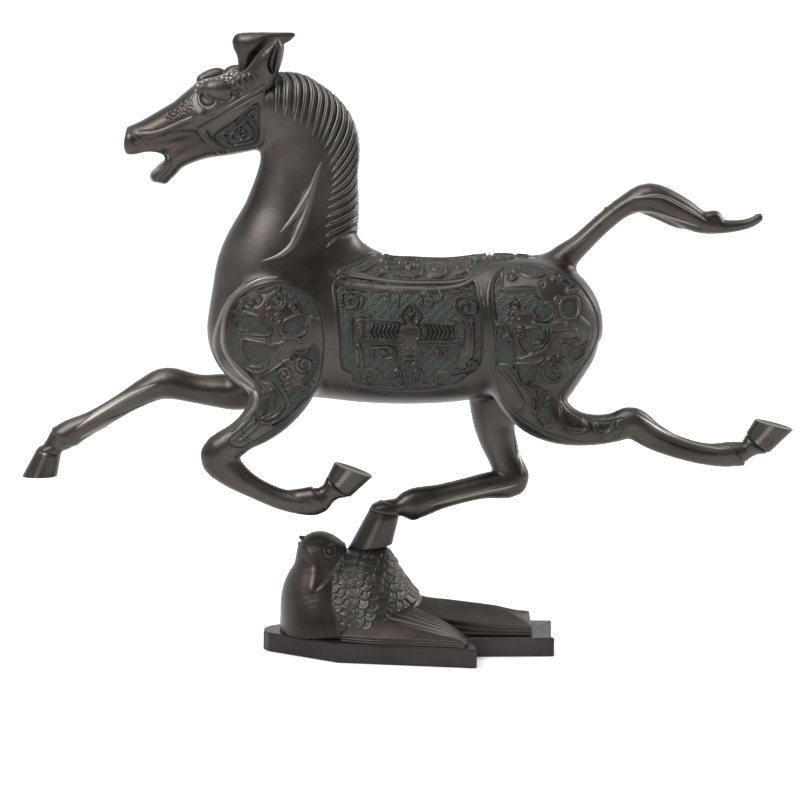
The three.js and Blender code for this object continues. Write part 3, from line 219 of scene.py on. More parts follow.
HAUNCH = {
    "outline": [(72.1, 127.4), (78.4, 137.4), (85, 146.1), (88.7, 154.1), (89, 162.1), (86.3, 170.8), (80.4, 179.4),
        (73.7, 184.5), (66.4, 187.3), (57.8, 189.1), (48.5, 188.7), (41.5, 185.6), (38.5, 180.4), (38, 172.8),
        (39.2, 162.8), (40.2, 152.8), (40.2, 139.4), (43.4, 127.4), (49.8, 119), (60.4, 112.4), (69.7, 108.6),
        (79.7, 106.4), (89.7, 106.3), (98.3, 108), (101.6, 117.4), (92.3, 116), (83, 117.6), (76.4, 120.6)],
    "grounds": [
        [(39.5, 180.8), (42.2, 184.9), (42.8, 180.1), (44.8, 178), (56.5, 178.2), (59.4, 176.1), (61.4, 172.8),
            (58.4, 171.4), (57.5, 169.4), (51.8, 169.4), (51.5, 172.1), (49.5, 174.1), (46.8, 172.8), (46.5, 169.4),
            (44.2, 166.1), (41.2, 164.4), (39.7, 172.8)],
        [(58.8, 170.8), (61.4, 172.4), (65.1, 172.1), (67.1, 169.4), (66.4, 166.4), (63.1, 164.8), (59.4, 166.1),
            (57.8, 168.4)],
        [(72.1, 173.4), (76.4, 174.8), (78.7, 173.4), (79.4, 169.4), (78.4, 166.4), (73.7, 166.1), (71.4, 168.8)],
        [(54.5, 160.1), (60.8, 160.4), (61.4, 156.1), (60.1, 153.4), (56.5, 153.1), (57.8, 150.1), (54.5, 149.4),
            (51.1, 154.8), (52.1, 158.1)],
        [(41, 161.4), (43.5, 159.1), (43.2, 156.1), (46.2, 153.4), (47.8, 152.1), (48.4, 144.8), (42.5, 143.4),
            (40.8, 146.1)],
        [(51.8, 188.3), (57.8, 188.8), (63.1, 188), (63.8, 186.1), (60.4, 184.7), (55.1, 185.3), (52.5, 186.5)],
        [(48.5, 142.8), (51.1, 143.4), (59.1, 143.4), (63.1, 145.8), (60.4, 142.8), (59.1, 138.7), (57.8, 134.1),
            (55.1, 136.1), (52.5, 135.4), (50.5, 139.4)],
        [(59.1, 132.7), (63.1, 130.7), (65.8, 128.7), (64.4, 122.7), (65.1, 116.1), (63.1, 114.1), (59.8, 118.7),
            (58.8, 126.1)],
        [(75.7, 152.1), (79.7, 150.8), (83, 152.1), (81.7, 147.4), (77, 144.8), (74.4, 147.4)],
    ],
    "lines": [
        [(43.2, 186.1), (42.8, 179.8), (44.8, 178), (56.8, 178.4), (59.4, 176.4), (61.4, 172.4), (65.1, 172.1),
            (67.1, 169.4), (66.4, 166.1), (63.1, 164.4), (59.8, 165.4), (57.5, 169.1), (51.8, 169.1)],
        [(57.8, 163.4), (66.4, 162.8), (69.7, 163.8), (72.4, 163.8), (74.1, 162.4), (73.1, 161.3)],
        [(63.1, 160.1), (62.8, 156.8), (60.4, 154.1), (57.1, 153.8)],
        [(64.8, 160.1), (64.4, 156.1), (61.8, 152.1), (58.4, 151.4)],
        [(66.4, 160.1), (66.1, 155.4), (63.1, 150.8), (59.1, 150.4)],
        [(67.1, 160), (73.7, 160.4), (77.7, 160.1), (79.4, 157.4), (78.4, 155.1), (71.7, 154.6), (70.4, 152.1),
            (69.7, 146.1)],
        [(41.8, 163.4), (45.2, 161.4), (46.5, 159.4), (49.8, 157.4), (52.5, 156.8), (53.5, 158.8), (52.5, 160.8)],
        [(43.8, 156.1), (45.8, 157.4), (47.8, 156.1), (48.8, 152.1), (49.1, 147.4), (51.8, 146.1), (55.1, 147.4),
            (60.4, 149.4), (63.1, 150.1)],
        [(41.2, 141.4), (45.2, 138.7), (49.8, 132.7), (54.1, 124.1), (52.5, 121.1), (48.5, 121.4), (43.8, 127.4),
            (41, 134.7), (40.6, 140.8)],
        [(49.8, 142.8), (51.8, 136.1), (55.1, 133.4), (57.5, 132.1), (56.5, 126.7), (58.4, 120.7)],
        [(61.8, 130.7), (65.8, 129.4), (64.4, 125.4), (65.8, 119.4), (65.8, 113.4)],
        [(54.5, 135.4), (58.4, 133.4), (59.1, 129.4), (60.4, 124.1), (59.1, 120.1)],
        [(71.1, 122.7), (71.4, 117.4), (72.7, 112.4), (82.7, 111.9), (82, 116.7), (80.4, 118.6)],
        [(87, 116.4), (88.7, 110.9), (93.7, 110.9), (96.8, 116.4)],
        [(80.4, 165.4), (83, 162.8), (85, 160.1), (84.4, 153.4), (80.4, 150.8)],
        [(71.7, 182.8), (75.7, 180.8), (78.4, 178.1)],
    ],
    "studs": [(47.5, 166.6), (50.5, 166.4), (47.7, 162.6), (62.1, 181.1), (90.7, 107.7), (97, 108.1), (98, 114.1)],
    "spirals": [(48.2, 184.9, 2.5, 1.4, 180, 1), (49.5, 171.6, 2.8, 1.5, 190, 1), (51.8, 159.1, 2.1, 1.2, 90, -1),
        (68.7, 183.6, 2.4, 1.3, 0, 1), (76.4, 178, 2.8, 1.3, 30, -1), (69.4, 173.8, 2.1, 1.2, 200, 1),
        (68.4, 140.8, 7.7, 2.2, 100, 1)],
}
HAUNCH["far"] = [
    (63.5, 132), (71, 138), (78, 146.5), (83.5, 155), (85, 162.1), (83.6, 170.8), (79, 179), (73.2, 184),
    *HAUNCH["outline"][8:16],
    (39.8, 139.4), (39.4, 128), (41.4, 121.4), (45.6, 117.8), (50, 119), (56.6, 124.6),
]
FLANK = {
    "outline": [(-34.6, 180.8), (-34.1, 169.8), (-33.3, 153.5), (-32.7, 141.5), (-28.4, 137.9), (-25.2, 132.2),
        (-10.8, 129.6), (5.5, 129.2), (20.7, 131.9), (27.2, 137.1), (32.6, 141.5), (34.2, 150.7), (34, 164.4),
        (31.5, 176.4), (29.4, 181.9), (21.8, 180.5), (10.9, 180.1), (-5.4, 180.3), (-16.2, 181.7), (-24.9, 183.8)],
    "plates": [
        [(-27.6, 166.3), (-19.7, 166.3), (-18.6, 164.9), (-19.5, 163.7), (-23, 164.1), (-24.9, 161.9),
            (-24.9, 155.7), (-23.5, 151.8), (-22.8, 141.6), (-25.9, 141.6), (-26.8, 150.7), (-27.6, 153.5)],
        [(20.7, 164.1), (29.1, 164.1), (29.1, 149.1), (26.6, 145.3), (26.4, 141.2), (22.8, 141.2), (23.4, 148.6),
            (25.5, 151.8), (25.5, 161.1), (22.8, 163.2)],
        [(-5.1, 160.6), (-2.1, 161.9), (2.2, 161.9), (4.7, 160.6), (4.9, 155.7), (2.8, 153.5), (2.5, 143.4),
            (-3.2, 143.4), (-3.4, 153.5), (-5.4, 155.7)],
        [(-10.8, 180.8), (-3.2, 180.8), (-3.2, 176.9), (-7.5, 176.9), (-10.8, 178.6)],
        [(3.9, 180.5), (12.5, 180.5), (12.5, 178.6), (8.7, 178.6), (8.2, 176.9), (4.9, 176.9)],
    ],
    "lines": [
        [(-27.6, 166.3), (-19.7, 166.3), (-18.5, 164.7), (-4.8, 164)],
        [(29.4, 164.4), (21, 164.4), (19.6, 162.5), (4.9, 163.2)], [(29.4, 164.4), (29.4, 149.1), (26.6, 145)],
        [(-27.6, 166.3), (-27.6, 153.5), (-23.5, 151), (-22.8, 141.6)],
        [(-2.4, 162.5), (-4.5, 166.3), (-2.6, 169.8), (0.1, 171.8), (2.8, 169.8), (4.8, 166.3), (2.8, 162.5)],
        [(0.1, 169.3), (0.1, 164.4)], [(-1.6, 167.7), (0.1, 166.3), (1.7, 167.7)],
        [(-23.7, 170.1), (-22.4, 176.1), (-31.8, 176.5), (-31.1, 170.4), (-25.9, 170.4), (-25, 174.2), (-29, 174.5),
            (-28.7, 172.3)],
        [(22.3, 168.5), (22, 174.5), (30.2, 173.7), (30.6, 167.9), (24.5, 167.9), (24.2, 171.5), (27.2, 172),
            (27.5, 170.4)],
        [(-17.8, 151), (-8.6, 151), (-8.3, 146.4), (-17.6, 146.1), (-17.8, 151)], [(16.6, 150.7), (16.6, 145.3)],
        [(-30.8, 179.1), (-27.1, 180.8), (-24.9, 179.4), (-20, 179.1), (-17.3, 180.1)],
        [(-14.6, 175.9), (-10.8, 176.3), (-10.8, 173.7), (-8.6, 172), (-5.9, 171.2), (-5.9, 175.9)],
        [(3.9, 176.1), (8.7, 176.1), (8.7, 173.9), (14.2, 173.9), (14.2, 175.9), (13.1, 178.3)],
        [(5.5, 173.9), (5.5, 171.5), (9.8, 171.2), (10.4, 173.4)],
        [(19.1, 177.5), (23.4, 177.4), (25, 178.6), (30.7, 177.6)],
        [(-26.2, 141.2), (-21.6, 140.4), (-16.2, 140.1), (-14.6, 138.5), (-13.5, 135.2), (-7.5, 134.6),
            (-5.1, 135.7), (-4.5, 139.3), (-5.9, 140.1), (-7.8, 139.3), (-7.5, 137.4)],
        [(-28.1, 137.6), (-26.2, 132.7), (-16.2, 131.6), (-3.2, 131.6), (-3.2, 139.8)],
        [(2, 131.6), (2, 139), (3.9, 139.8), (5.5, 139.3), (5.5, 136.8)],
        [(4.4, 134.4), (5.5, 132.7), (10.9, 132.7), (12.5, 134.9), (13.1, 138.5), (26.1, 139.8), (26.9, 141.5)],
        [(19.6, 136.5), (22.8, 137.1), (26.1, 138.2), (26.1, 134.9), (22.3, 132.2), (13.6, 131.6)],
        [(28.8, 144.7), (31.5, 143.6), (32.1, 139.8), (29.4, 137.6), (27.7, 139.8), (28.5, 142)],
    ],
    "ropes": [
        [(-23.4, 162.5), (-23.6, 156.7), (-22.2, 154.6), (-19.5, 154), (-6.2, 153.9), (-4.7, 152.4), (-4.5, 143.9)],
        [(23.8, 161.9), (24, 156.2), (22.6, 153.7), (19.6, 153.2), (5.5, 153.2), (3.8, 151.8), (3.6, 143.4)],
    ],
    "studs": [(12.8, 148)],
    "spirals": [(-4, 164.1, 1.2, 1.2, 60, 1), (2.5, 163.6, 1.2, 1.2, 120, -1), (-12.9, 148.7, 1.5, 1.3, 0, 1),
        (12.8, 148, 1.7, 1, 0, 1), (-21.6, 134.6, 2, 1.2, 0, 1)],
    "bars": [150.7, 148, 145.8, 143.4],
    "weight": 0.5,
    "ribs": [(-18.2, -1), (-16.2, -1), (-14.2, -1), (-12.2, -1), (-10.2, -1), (-8.2, -1), (-6.2, -1), (7.2, 1),
        (9.2, 1), (11.2, 1), (13.2, 1), (15.2, 1), (17.2, 1), (19.2, 1)],
}
CHEEK = {
    "outline": [(-92.8, 249.6), (-82, 257.4), (-71.8, 265.4), (-71.2, 256), (-71.4, 248), (-73.2, 245.2),
        (-79, 243.8), (-84.8, 242.9), (-87.6, 243.2)],
    "margin": 0.8,
    "lines": [
        [(-90.2, 248.9), (-87.1, 250.8), (-84.2, 250.4), (-81.8, 253.4), (-78.4, 256), (-76.8, 259), (-73.6, 262)],
        [(-75.9, 259.3), (-73.6, 255), (-72.7, 250), (-74.6, 247), (-80.8, 245.2), (-85, 244.2)],
        [(-78.4, 256.4), (-75.6, 253.2), (-75, 249.8), (-77, 248), (-81.5, 247.2), (-84.3, 248), (-84.2, 250.2)],
        [(-87, 248), (-86.6, 245.6), (-84.4, 244.8)], [(-82.6, 255), (-80.1, 258.2), (-76.6, 261.6), (-73, 264)],
    ],
    "spirals": [(-79.2, 251, 2.4, 1.4, 90, 1), (-88.5, 249, 1.4, 1.2, 0, -1)],
}

# Each lock of the mane falls from the crest (x, z) past a bend to its point.
LOCKS = [
    ((-64.8, 276.2), (-61.8, 276.4), (-63.6, 259.4)), ((-61.4, 278.6), (-55.2, 277.2), (-59.6, 257.9)),
    ((-57.4, 278.6), (-49.7, 278.6), (-55, 255.1)), ((-53, 277.8), (-45.6, 275.6), (-52.2, 254.5)),
    ((-48.7, 276.6), (-41.5, 275), (-49.4, 252)), ((-45, 275.3), (-37, 273.6), (-46.7, 248.6)),
    ((-41, 273.8), (-34.5, 270.2), (-44.2, 247)), ((-37.5, 271.3), (-31, 267.5), (-42.7, 245.2)),
    ((-34.5, 267.6), (-27.8, 260.7), (-41.1, 242.7)), ((-31.4, 263.8), (-25.8, 256.9), (-39.6, 239)),
    ((-28.3, 258.9), (-23.6, 251.4), (-38.4, 235.3)), ((-25.8, 253.9), (-22.7, 245.7), (-37.7, 231.8)),
    ((-24.6, 248.3), (-22.2, 240.2), (-37.6, 228.4)), ((-23.8, 242.7), (-22.5, 234.7), (-37.8, 225.3)),
    ((-23.5, 237.1), (-22.9, 229.1), (-38.6, 222.2)), ((-23.5, 231.4), (-23.7, 224.1), (-39.5, 219.1)),
    ((-23.6, 225.8), (-24.6, 219.5), (-40.1, 215.4)), ((-24, 220.2), (-25.3, 215.7), (-40.9, 211)),
    ((-24.1, 214.6), (-26, 212.2), (-41.7, 206.4)), ((-24.5, 208.9), (-26.4, 208.6), (-42, 201.7)),
    ((-25.1, 203.9), (-28.1, 206.9), (-41.6, 196.4)),
]


# The ears, and the forelock tied into a knob with a cap. A ring is (front x, rear x, half width, z, taper).
EAR = [
    (-72.5, -8.5, 272.5, 7, 4), (-69.6, -10.6, 279.6, 7, 4.6), (-66.4, -12, 285.8, 5.9, 4.6),
    (-63.5, -12.8, 290.8, 3.5, 3.4), (-62.7, -13, 294, 1.7, 1.8), (-62.8, -13, 295.8, 0.6, 0.6),
]
EAR_HOLLOW = [
    (-64.8, -13.8, 279.8, 0.9, 1.4), (-65.2, -16, 283.4, 2, 3.4), (-64.2, -17, 288, 1.9, 3.6),
    (-62.9, -16.4, 292.4, 0.7, 1.6),
]
FORELOCK = [
    (-83, -73.6, 4, 272.6, 0), (-82, -74.8, 3.1, 277, 0), (-81.6, -75.2, 2.9, 281, 0.02),
    (-81.6, -73.4, 3.1, 284.4, 0.1), (-82.2, -70, 3.9, 287, 0.25), (-83.4, -65, 5, 289.6, 0.5),
    (-84, -60.6, 5.5, 291.8, 0.72), (-84.2, -57.2, 5.6, 293.6, 0.86), (-83.6, -55.2, 5.2, 295.4, 0.9),
    (-82.2, -54.4, 4.4, 296.8, 0.92), (-79.6, -55, 3.2, 297.4, 0.92),
]
# Where the head stops, as (x, z): the border of the cheek, and in front of it all of the head.
HEAD_AREA = [
    (-54, 302), (-56, 278.4), (-61, 275), (-68.4, 271), (-68.4, 247), (-71.4, 242.8), (-75, 236), (-98, 227),
    (-108, 214), (-150, 214), (-150, 302),
]
# Soft ridges and flat straps of the head, as (points (x, z), half width, rise), and its grooves.
HEAD_LINES = [
    ([(-69.6, 271.6), (-69.8, 260), (-69.9, 248), (-72.8, 243.9), (-80, 242.2), (-87.4, 241.2)], 1.1, 0.3),
    ([(-127, 249.4), (-120, 250.6), (-113.5, 253.2), (-107.5, 255.9), (-100, 258.6)], 1.7, 0.75),
    ([(-117.6, 241.6), (-115.4, 239.2), (-114.9, 236), (-117.2, 231.9), (-120.8, 228.2)], 1.2, 0.3),
]
HEAD_STRAPS = [
    ([(-98.6, 254.9), (-84, 264), (-68.6, 272.8)], 1.15, 0.2),
    ([(-98.4, 252.2), (-94, 246), (-89, 240.6)], 1.5, 0.3),
]
HEAD_GROOVES = [
    ([(-99.8, 253.4), (-86.3, 261.2), (-68.5, 271.2)], 0.4, 0.8),
    ([(-93.5, 259.4), (-81.4, 266.8), (-68.5, 274.3)], 0.25, 0.5),
    ([(-101, 251.6), (-96.5, 245.8), (-91, 239.8)], 0.25, 0.4),
    ([(-96, 252), (-91.8, 246.4), (-87, 241.4)], 0.3, 0.6),
    ([(-128.5, 251.6), (-122.7, 251.7), (-117.3, 252.8), (-110.6, 255.9), (-103.3, 259.2)], 0.3, 0.35),
    ([(-126.4, 247.8), (-119.7, 248.9), (-113.5, 251.4), (-108.1, 253.9), (-102.1, 256.4)], 0.25, 0.5),
    ([(-116, 249.8), (-110.5, 251.4), (-102, 251.8), (-100.4, 250.6)], 0.4, 0.6),
    ([(-116.6, 242.8), (-114, 239.4), (-113.1, 237), (-113.6, 233.8), (-116.7, 230.6), (-119.4, 226.6)], 0.3, 0.6),
    ([(-99.6, 252.6), (-101.6, 255.4), (-100.4, 258.2)], 0.3, 0.3),
    ([(-98.8, 270.2), (-98.2, 273.4), (-96.6, 275.2)], 0.35, 0.7),
    ([(-95.4, 269.2), (-93.2, 267.3), (-89.6, 266.6), (-85.4, 266.8), (-83.8, 270), (-85, 274.2)], 0.35, 0.8),
]
EYELID = [(-98.8, 270.2), (-98.2, 276), (-85, 276), (-84.4, 267.2), (-89.6, 266.6), (-93.2, 267.5), (-95.6, 269.2)]
EYE = (-95.6, 267.2)
CHEEKBONE = (-98.6, 259.4)
# The open mouth and the flat end of the lower jaw, cut from side to side, and the pitted bridge of the nose.
MOUTH = [
    (-146, 240), (-132.6, 240), (-125.3, 241.4), (-120.5, 241.1), (-117.7, 239.6), (-116.6, 237.6), (-119.6, 234.4),
    (-123.5, 230.9), (-122.4, 227.5), (-114.6, 224.2), (-117.8, 216), (-146, 216),
]
PITTED = [(-117.4, 257.6), (-110.6, 264), (-102.8, 268), (-102.4, 263), (-106.8, 259.6), (-113.6, 256.6)]


def rounded(line, closed=False, steps=4):
    """The points of a line, or the stations of a limb, joined by a smooth curve."""
    s = np.array(line, float)
    padded = np.vstack([s[-1:], s, s[:2]] if closed else [s[:1], s, s[-1:]])
    t = np.linspace(0, 1, steps, endpoint=False)[:, None]
    rows = []
    for a, b, c, d in zip(padded, padded[1:], padded[2:], padded[3:]):
        rows.append(b + 0.5 * t * (c - a + t * (2 * a - 5 * b + 4 * c - d + t * (3 * (b - c) + d - a))))
    return np.vstack(rows if closed else rows + [s[-1:]])


def limb(stations, steps=4, reach=16.0):
    """The distance from points to a limb, negative inside. Far from the limb it is only a lower bound."""
    walk = rounded(stations, steps=steps)
    half = walk[:, [3, 4, 3]]
    spans = []
    for i in range(0, len(walk) - 1, steps):
        part, size = walk[i : i + steps + 1], half[i : i + steps + 1]
        spans.append((part, (part[:, :3] - size).min(0), (part[:, :3] + size).max(0)))

    def distance(p):
        best = np.full(len(p), np.inf)
        for part, low, high in spans:
            away = np.maximum(low - p, p - high).max(1)
            near = np.flatnonzero(away < reach)
            own, q = np.full(len(near), np.inf), p[near]
            for a, b in zip(part, part[1:]):
                u = b[:3] - a[:3]
                t = np.clip((q - a[:3]) @ u / (u @ u), 0, 1)
                r = q - a[:3] - t[:, None] * u
                thick, wide = a[3] + t * (b[3] - a[3]), a[4] + t * (b[4] - a[4])
                flat, across = r[:, 0] ** 2 + r[:, 2] ** 2, r[:, 1] ** 2
                k0 = np.sqrt(flat / thick**2 + across / wide**2)
                k1 = np.sqrt(flat / thick**4 + across / wide**4)
                own = np.minimum(own, np.where(k1 < 1e-9, -np.minimum(thick, wide), k0 * (k0 - 1) / (k1 + 1e-12)))
            away[near] = own
            best = np.minimum(best, away)
        return best

    return distance


def blend(a, b, width):
    """The union of two forms with a rounded joint."""
    h = np.maximum(width - np.abs(a - b), 0) / width
    return np.minimum(a, b) - h * h * width / 4


def cut(a, b, width):
    """Form a without form b, with a rounded edge."""
    return -blend(-a, b, width)


def in_threads(form):
    """The same form, with its points shared out between four threads."""

    def shared(p):
        if len(p) < 4000:
            return form(p)
        with ThreadPoolExecutor(4) as pool:
            return np.concatenate(list(pool.map(form, np.array_split(p, 8))))

    return shared


def joined(limbs):
    """One form out of limbs, each with the width of its blend."""

    def form(p):
        d = limbs[0][0](p)
        for part, width in limbs[1:]:
            d = blend(d, part(p), width)
        return d

    return in_threads(form)


def mirrored(stations):
    return [(x, -y, *rest) for x, y, *rest in stations]


def mesh_form(form, low, high, step, block=4):
    """Surface nets: a point in each lattice cell that the surface crosses, and a quad on each crossed edge."""
    low = np.array(low, float)
    blocks = np.ceil((np.array(high) - low) / step / block).astype(int)
    at = np.stack(np.meshgrid(*[np.arange(n) for n in blocks], indexing="ij"), -1).reshape(-1, 3)
    middle = form(low + (at + (block - 1) / (2 * block)) * block * step)
    value = middle.reshape(blocks).repeat(block, 0).repeat(block, 1).repeat(block, 2).astype(np.float32)
    close = at[np.abs(middle) < 2.9 * block * step / 2]
    offsets = np.stack(np.meshgrid(*[np.arange(block)] * 3, indexing="ij"), -1).reshape(-1, 3)
    for some in np.array_split(close, max(1, len(close) // 3000)):
        fine = (some[:, None] * block + offsets).reshape(-1, 3)
        value[tuple(fine.T)] = form(low + fine * step)
    inside = value < 0
    corners = np.stack(np.meshgrid([0, 1], [0, 1], [0, 1], indexing="ij"), -1).reshape(-1, 3)
    cells = np.array(value.shape) - 1
    count = sum(inside[tuple(slice(k, k + n) for k, n in zip(corner, cells))].astype(np.uint8) for corner in corners)
    active = np.argwhere((count > 0) & (count < 8))
    total, crossings = np.zeros((len(active), 3)), np.zeros(len(active))
    for a in corners:
        for axis in range(3):
            if a[axis]:
                continue
            b = a.copy()
            b[axis] = 1
            va, vb = value[tuple((active + a).T)], value[tuple((active + b).T)]
            crossed = (va < 0) != (vb < 0)
            t = np.where(crossed, va / np.where(crossed, va - vb, 1), 0)
            total += crossed[:, None] * (a + t[:, None] * (b - a))
            crossings += crossed
    points = low + step * (active + total / crossings[:, None])
    number = np.full(cells, -1, np.int32)
    number[tuple(active.T)] = np.arange(len(active))
    quads = []
    for axis in range(3):
        e, p, s = (np.eye(3, dtype=int)[(axis + k) % 3] for k in range(3))
        first = inside[tuple(slice(0, n - k) for n, k in zip(value.shape, e))]
        second = inside[tuple(slice(k, None) for k in e)]
        where = np.argwhere(first != second)
        where = where[((where > 0) | (e > 0)).all(1)]
        quad = np.stack([number[tuple((where - k).T)] for k in (0 * p, p, p + s, s)], 1)
        out = ~inside[tuple(where.T)]
        quad[out] = quad[out][:, ::-1]
        quads.append(quad)
    return points, np.vstack(quads)


def slope(form, p, h=0.05):
    """The form's value and gradient."""
    d = form(p)
    return d, np.stack([form(p + h * e) - d for e in np.eye(3)], 1) / h


def settle(form, p, rounds=2):
    """Moves points onto the surface and returns them with their outward directions."""
    for _ in range(rounds):
        d, g = slope(form, p)
        p = p - 0.9 * (d / np.maximum((g * g).sum(1), 1e-6))[:, None] * g
    g = slope(form, p)[1]
    return p, g / np.maximum(np.linalg.norm(g, axis=1), 1e-9)[:, None]


def relax(points, quads, rounds=5):
    """Evens out small waves without thinning the form."""
    a, b = quads[:, [0, 1, 2, 3]].ravel(), quads[:, [1, 2, 3, 0]].ravel()
    ends, others = np.concatenate([a, b]), np.concatenate([b, a])
    count = np.maximum(np.bincount(ends, minlength=len(points)), 1)[:, None]
    for factor in (0.5, -0.53) * rounds:
        mean = np.stack([np.bincount(ends, points[others, k], len(points)) for k in range(3)], 1) / count
        points = points + factor * (mean - points)
    return points


def land(form, start, step):
    """The first point of the surface along each sight line, or else the one that the line passes nearest."""
    p, best, least = start.copy(), start.copy(), np.full(len(start), np.inf)
    moving = np.arange(len(p))
    for _ in range(48):
        d = form(p[moving])
        nearer = d < least[moving]
        best[moving[nearer]], least[moving[nearer]] = p[moving[nearer]], d[nearer]
        moving, d = moving[d > 0.02], d[d > 0.02]
        if not len(moving):
            break
        p[moving] += step * 0.85 * np.maximum(d, 0.1)[:, None]
    return settle(form, best)


def from_side(side):
    """A level look at one side of the horse, for drawings with points (x, z)."""

    def look(form, q):
        start = np.stack([q[:, 0], np.full(len(q), side * 40.0), q[:, 1]], 1)
        return land(form, start, np.array([0, -side, 0]))

    return look


def from_above(form, q):
    start = np.stack([q[:, 0], q[:, 1], np.full(len(q), 230.0)], 1)
    return land(form, start, np.array([0, 0, -1]))


def piece(name, points, faces, material, slot, node, relief=None):
    """A mesh piece that rides on the statue, with its material."""
    mesh = bpy.data.meshes.new(name)
    mesh.from_pydata((np.asarray(points) * MM).tolist(), [], [list(map(int, f)) for f in faces])
    mesh.validate()
    mesh.polygons.foreach_set("use_smooth", np.ones(len(mesh.polygons), bool))
    worn_and_lit = mesh.attributes.new("relief", "FLOAT", "POINT")
    worn_and_lit.data.foreach_set("value", np.full(len(points), 1.0) if relief is None else relief)
    mesh.materials.append(material)
    obj = bpy.data.objects.new(name, mesh)
    bpy.context.scene.collection.objects.link(obj)
    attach(obj, "root")
    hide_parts(node)
    return obj


# Drawing tools for the carving.
# Each returns a value for every point of a drawing, in millimetres.
def near_only(distance):
    """The same distance, worked out only for points near the drawing. The others are given as far away."""

    def limited(points, line, reach=4.0):
        line = np.asarray(line, float)
        near = ((points > line.min(0) - reach) & (points < line.max(0) + reach)).all(1)
        result = np.full(len(points), 99.0)
        result[near] = distance(points[near], line)
        return result

    return limited


@near_only
def outline_distance(points, outline):
    """The distance to a closed outline, negative inside."""
    a = np.array(outline, float)
    b = np.roll(a, -1, 0)
    best, inside = np.full(len(points), np.inf), np.zeros(len(points), bool)
    for (ax, ay), (bx, by) in zip(a, b):
        dx, dy = bx - ax, by - ay
        t = np.clip(((points[:, 0] - ax) * dx + (points[:, 1] - ay) * dy) / (dx * dx + dy * dy), 0, 1)
        best = np.minimum(best, np.hypot(points[:, 0] - ax - t * dx, points[:, 1] - ay - t * dy))
        crosses = (ay > points[:, 1]) != (by > points[:, 1])
        level = ax + (points[:, 1] - ay) * dx / (dy if dy else 1e-9)
        inside ^= crosses & (points[:, 0] < level)
    return np.where(inside, -best, best)


@near_only
def line_distance(points, line):
    best = np.full(len(points), np.inf)
    for (ax, ay), (bx, by) in zip(line, line[1:]):
        dx, dy = bx - ax, by - ay
        t = np.clip(((points[:, 0] - ax) * dx + (points[:, 1] - ay) * dy) / (dx * dx + dy * dy + 1e-9), 0, 1)
        best = np.minimum(best, np.hypot(points[:, 0] - ax - t * dx, points[:, 1] - ay - t * dy))
    return best


def step_up(d, width=0.45):
    """0 outside and 1 inside a distance of zero, with a sloped flank."""
    t = np.clip(0.5 - d / width, 0, 1)
    return t * t * (3 - 2 * t)


def along_line(points, line):
    """The nearest place on a line: distance, length walked so far and signed side."""
    best, walked, side = np.full(len(points), np.inf), np.zeros(len(points)), np.zeros(len(points))
    before = 0.0
    for (ax, ay), (bx, by) in zip(line, line[1:]):
        dx, dy = bx - ax, by - ay
        length = math.hypot(dx, dy)
        t = np.clip(((points[:, 0] - ax) * dx + (points[:, 1] - ay) * dy) / (length**2 + 1e-9), 0, 1)
        px, py = points[:, 0] - ax - t * dx, points[:, 1] - ay - t * dy
        d = np.hypot(px, py)
        nearer = d < best
        best = np.where(nearer, d, best)
        walked = np.where(nearer, before + t * length, walked)
        side = np.where(nearer, (dx * py - dy * px) / (length + 1e-9), side)
        before += length
    return best, walked, side


def grained(q, pitch=1.25):
    """Round grains, -1 to 1, one somewhere in each square cell, that fill the ground between the figures."""
    q = q / pitch
    cell = np.floor(q)
    nearest = np.full(len(q), 9.0)
    for dx in (-1, 0, 1):
        for dy in (-1, 0, 1):
            corner = cell + (dx, dy)
            u, v = corner.T
            middle = corner + 0.5 + 0.3 * np.stack([np.sin(12.9 * u + 78.2 * v), np.sin(39.3 * u + 11.1 * v)], 1)
            nearest = np.minimum(nearest, np.hypot(*(q - middle).T))
    return np.clip(1 - (nearest / 0.42) ** 2, -1, 1)


def spiral(x, z, radius, turns=1.6, start=0.0, hand=1):
    """Points of a spiral that winds inward."""
    t = np.linspace(0, 1, int(14 * turns))
    angle = start + hand * 2 * np.pi * turns * t
    r = radius * (1 - 0.92 * t)
    return np.stack([x + r * np.cos(angle), z + r * np.sin(angle)], 1)


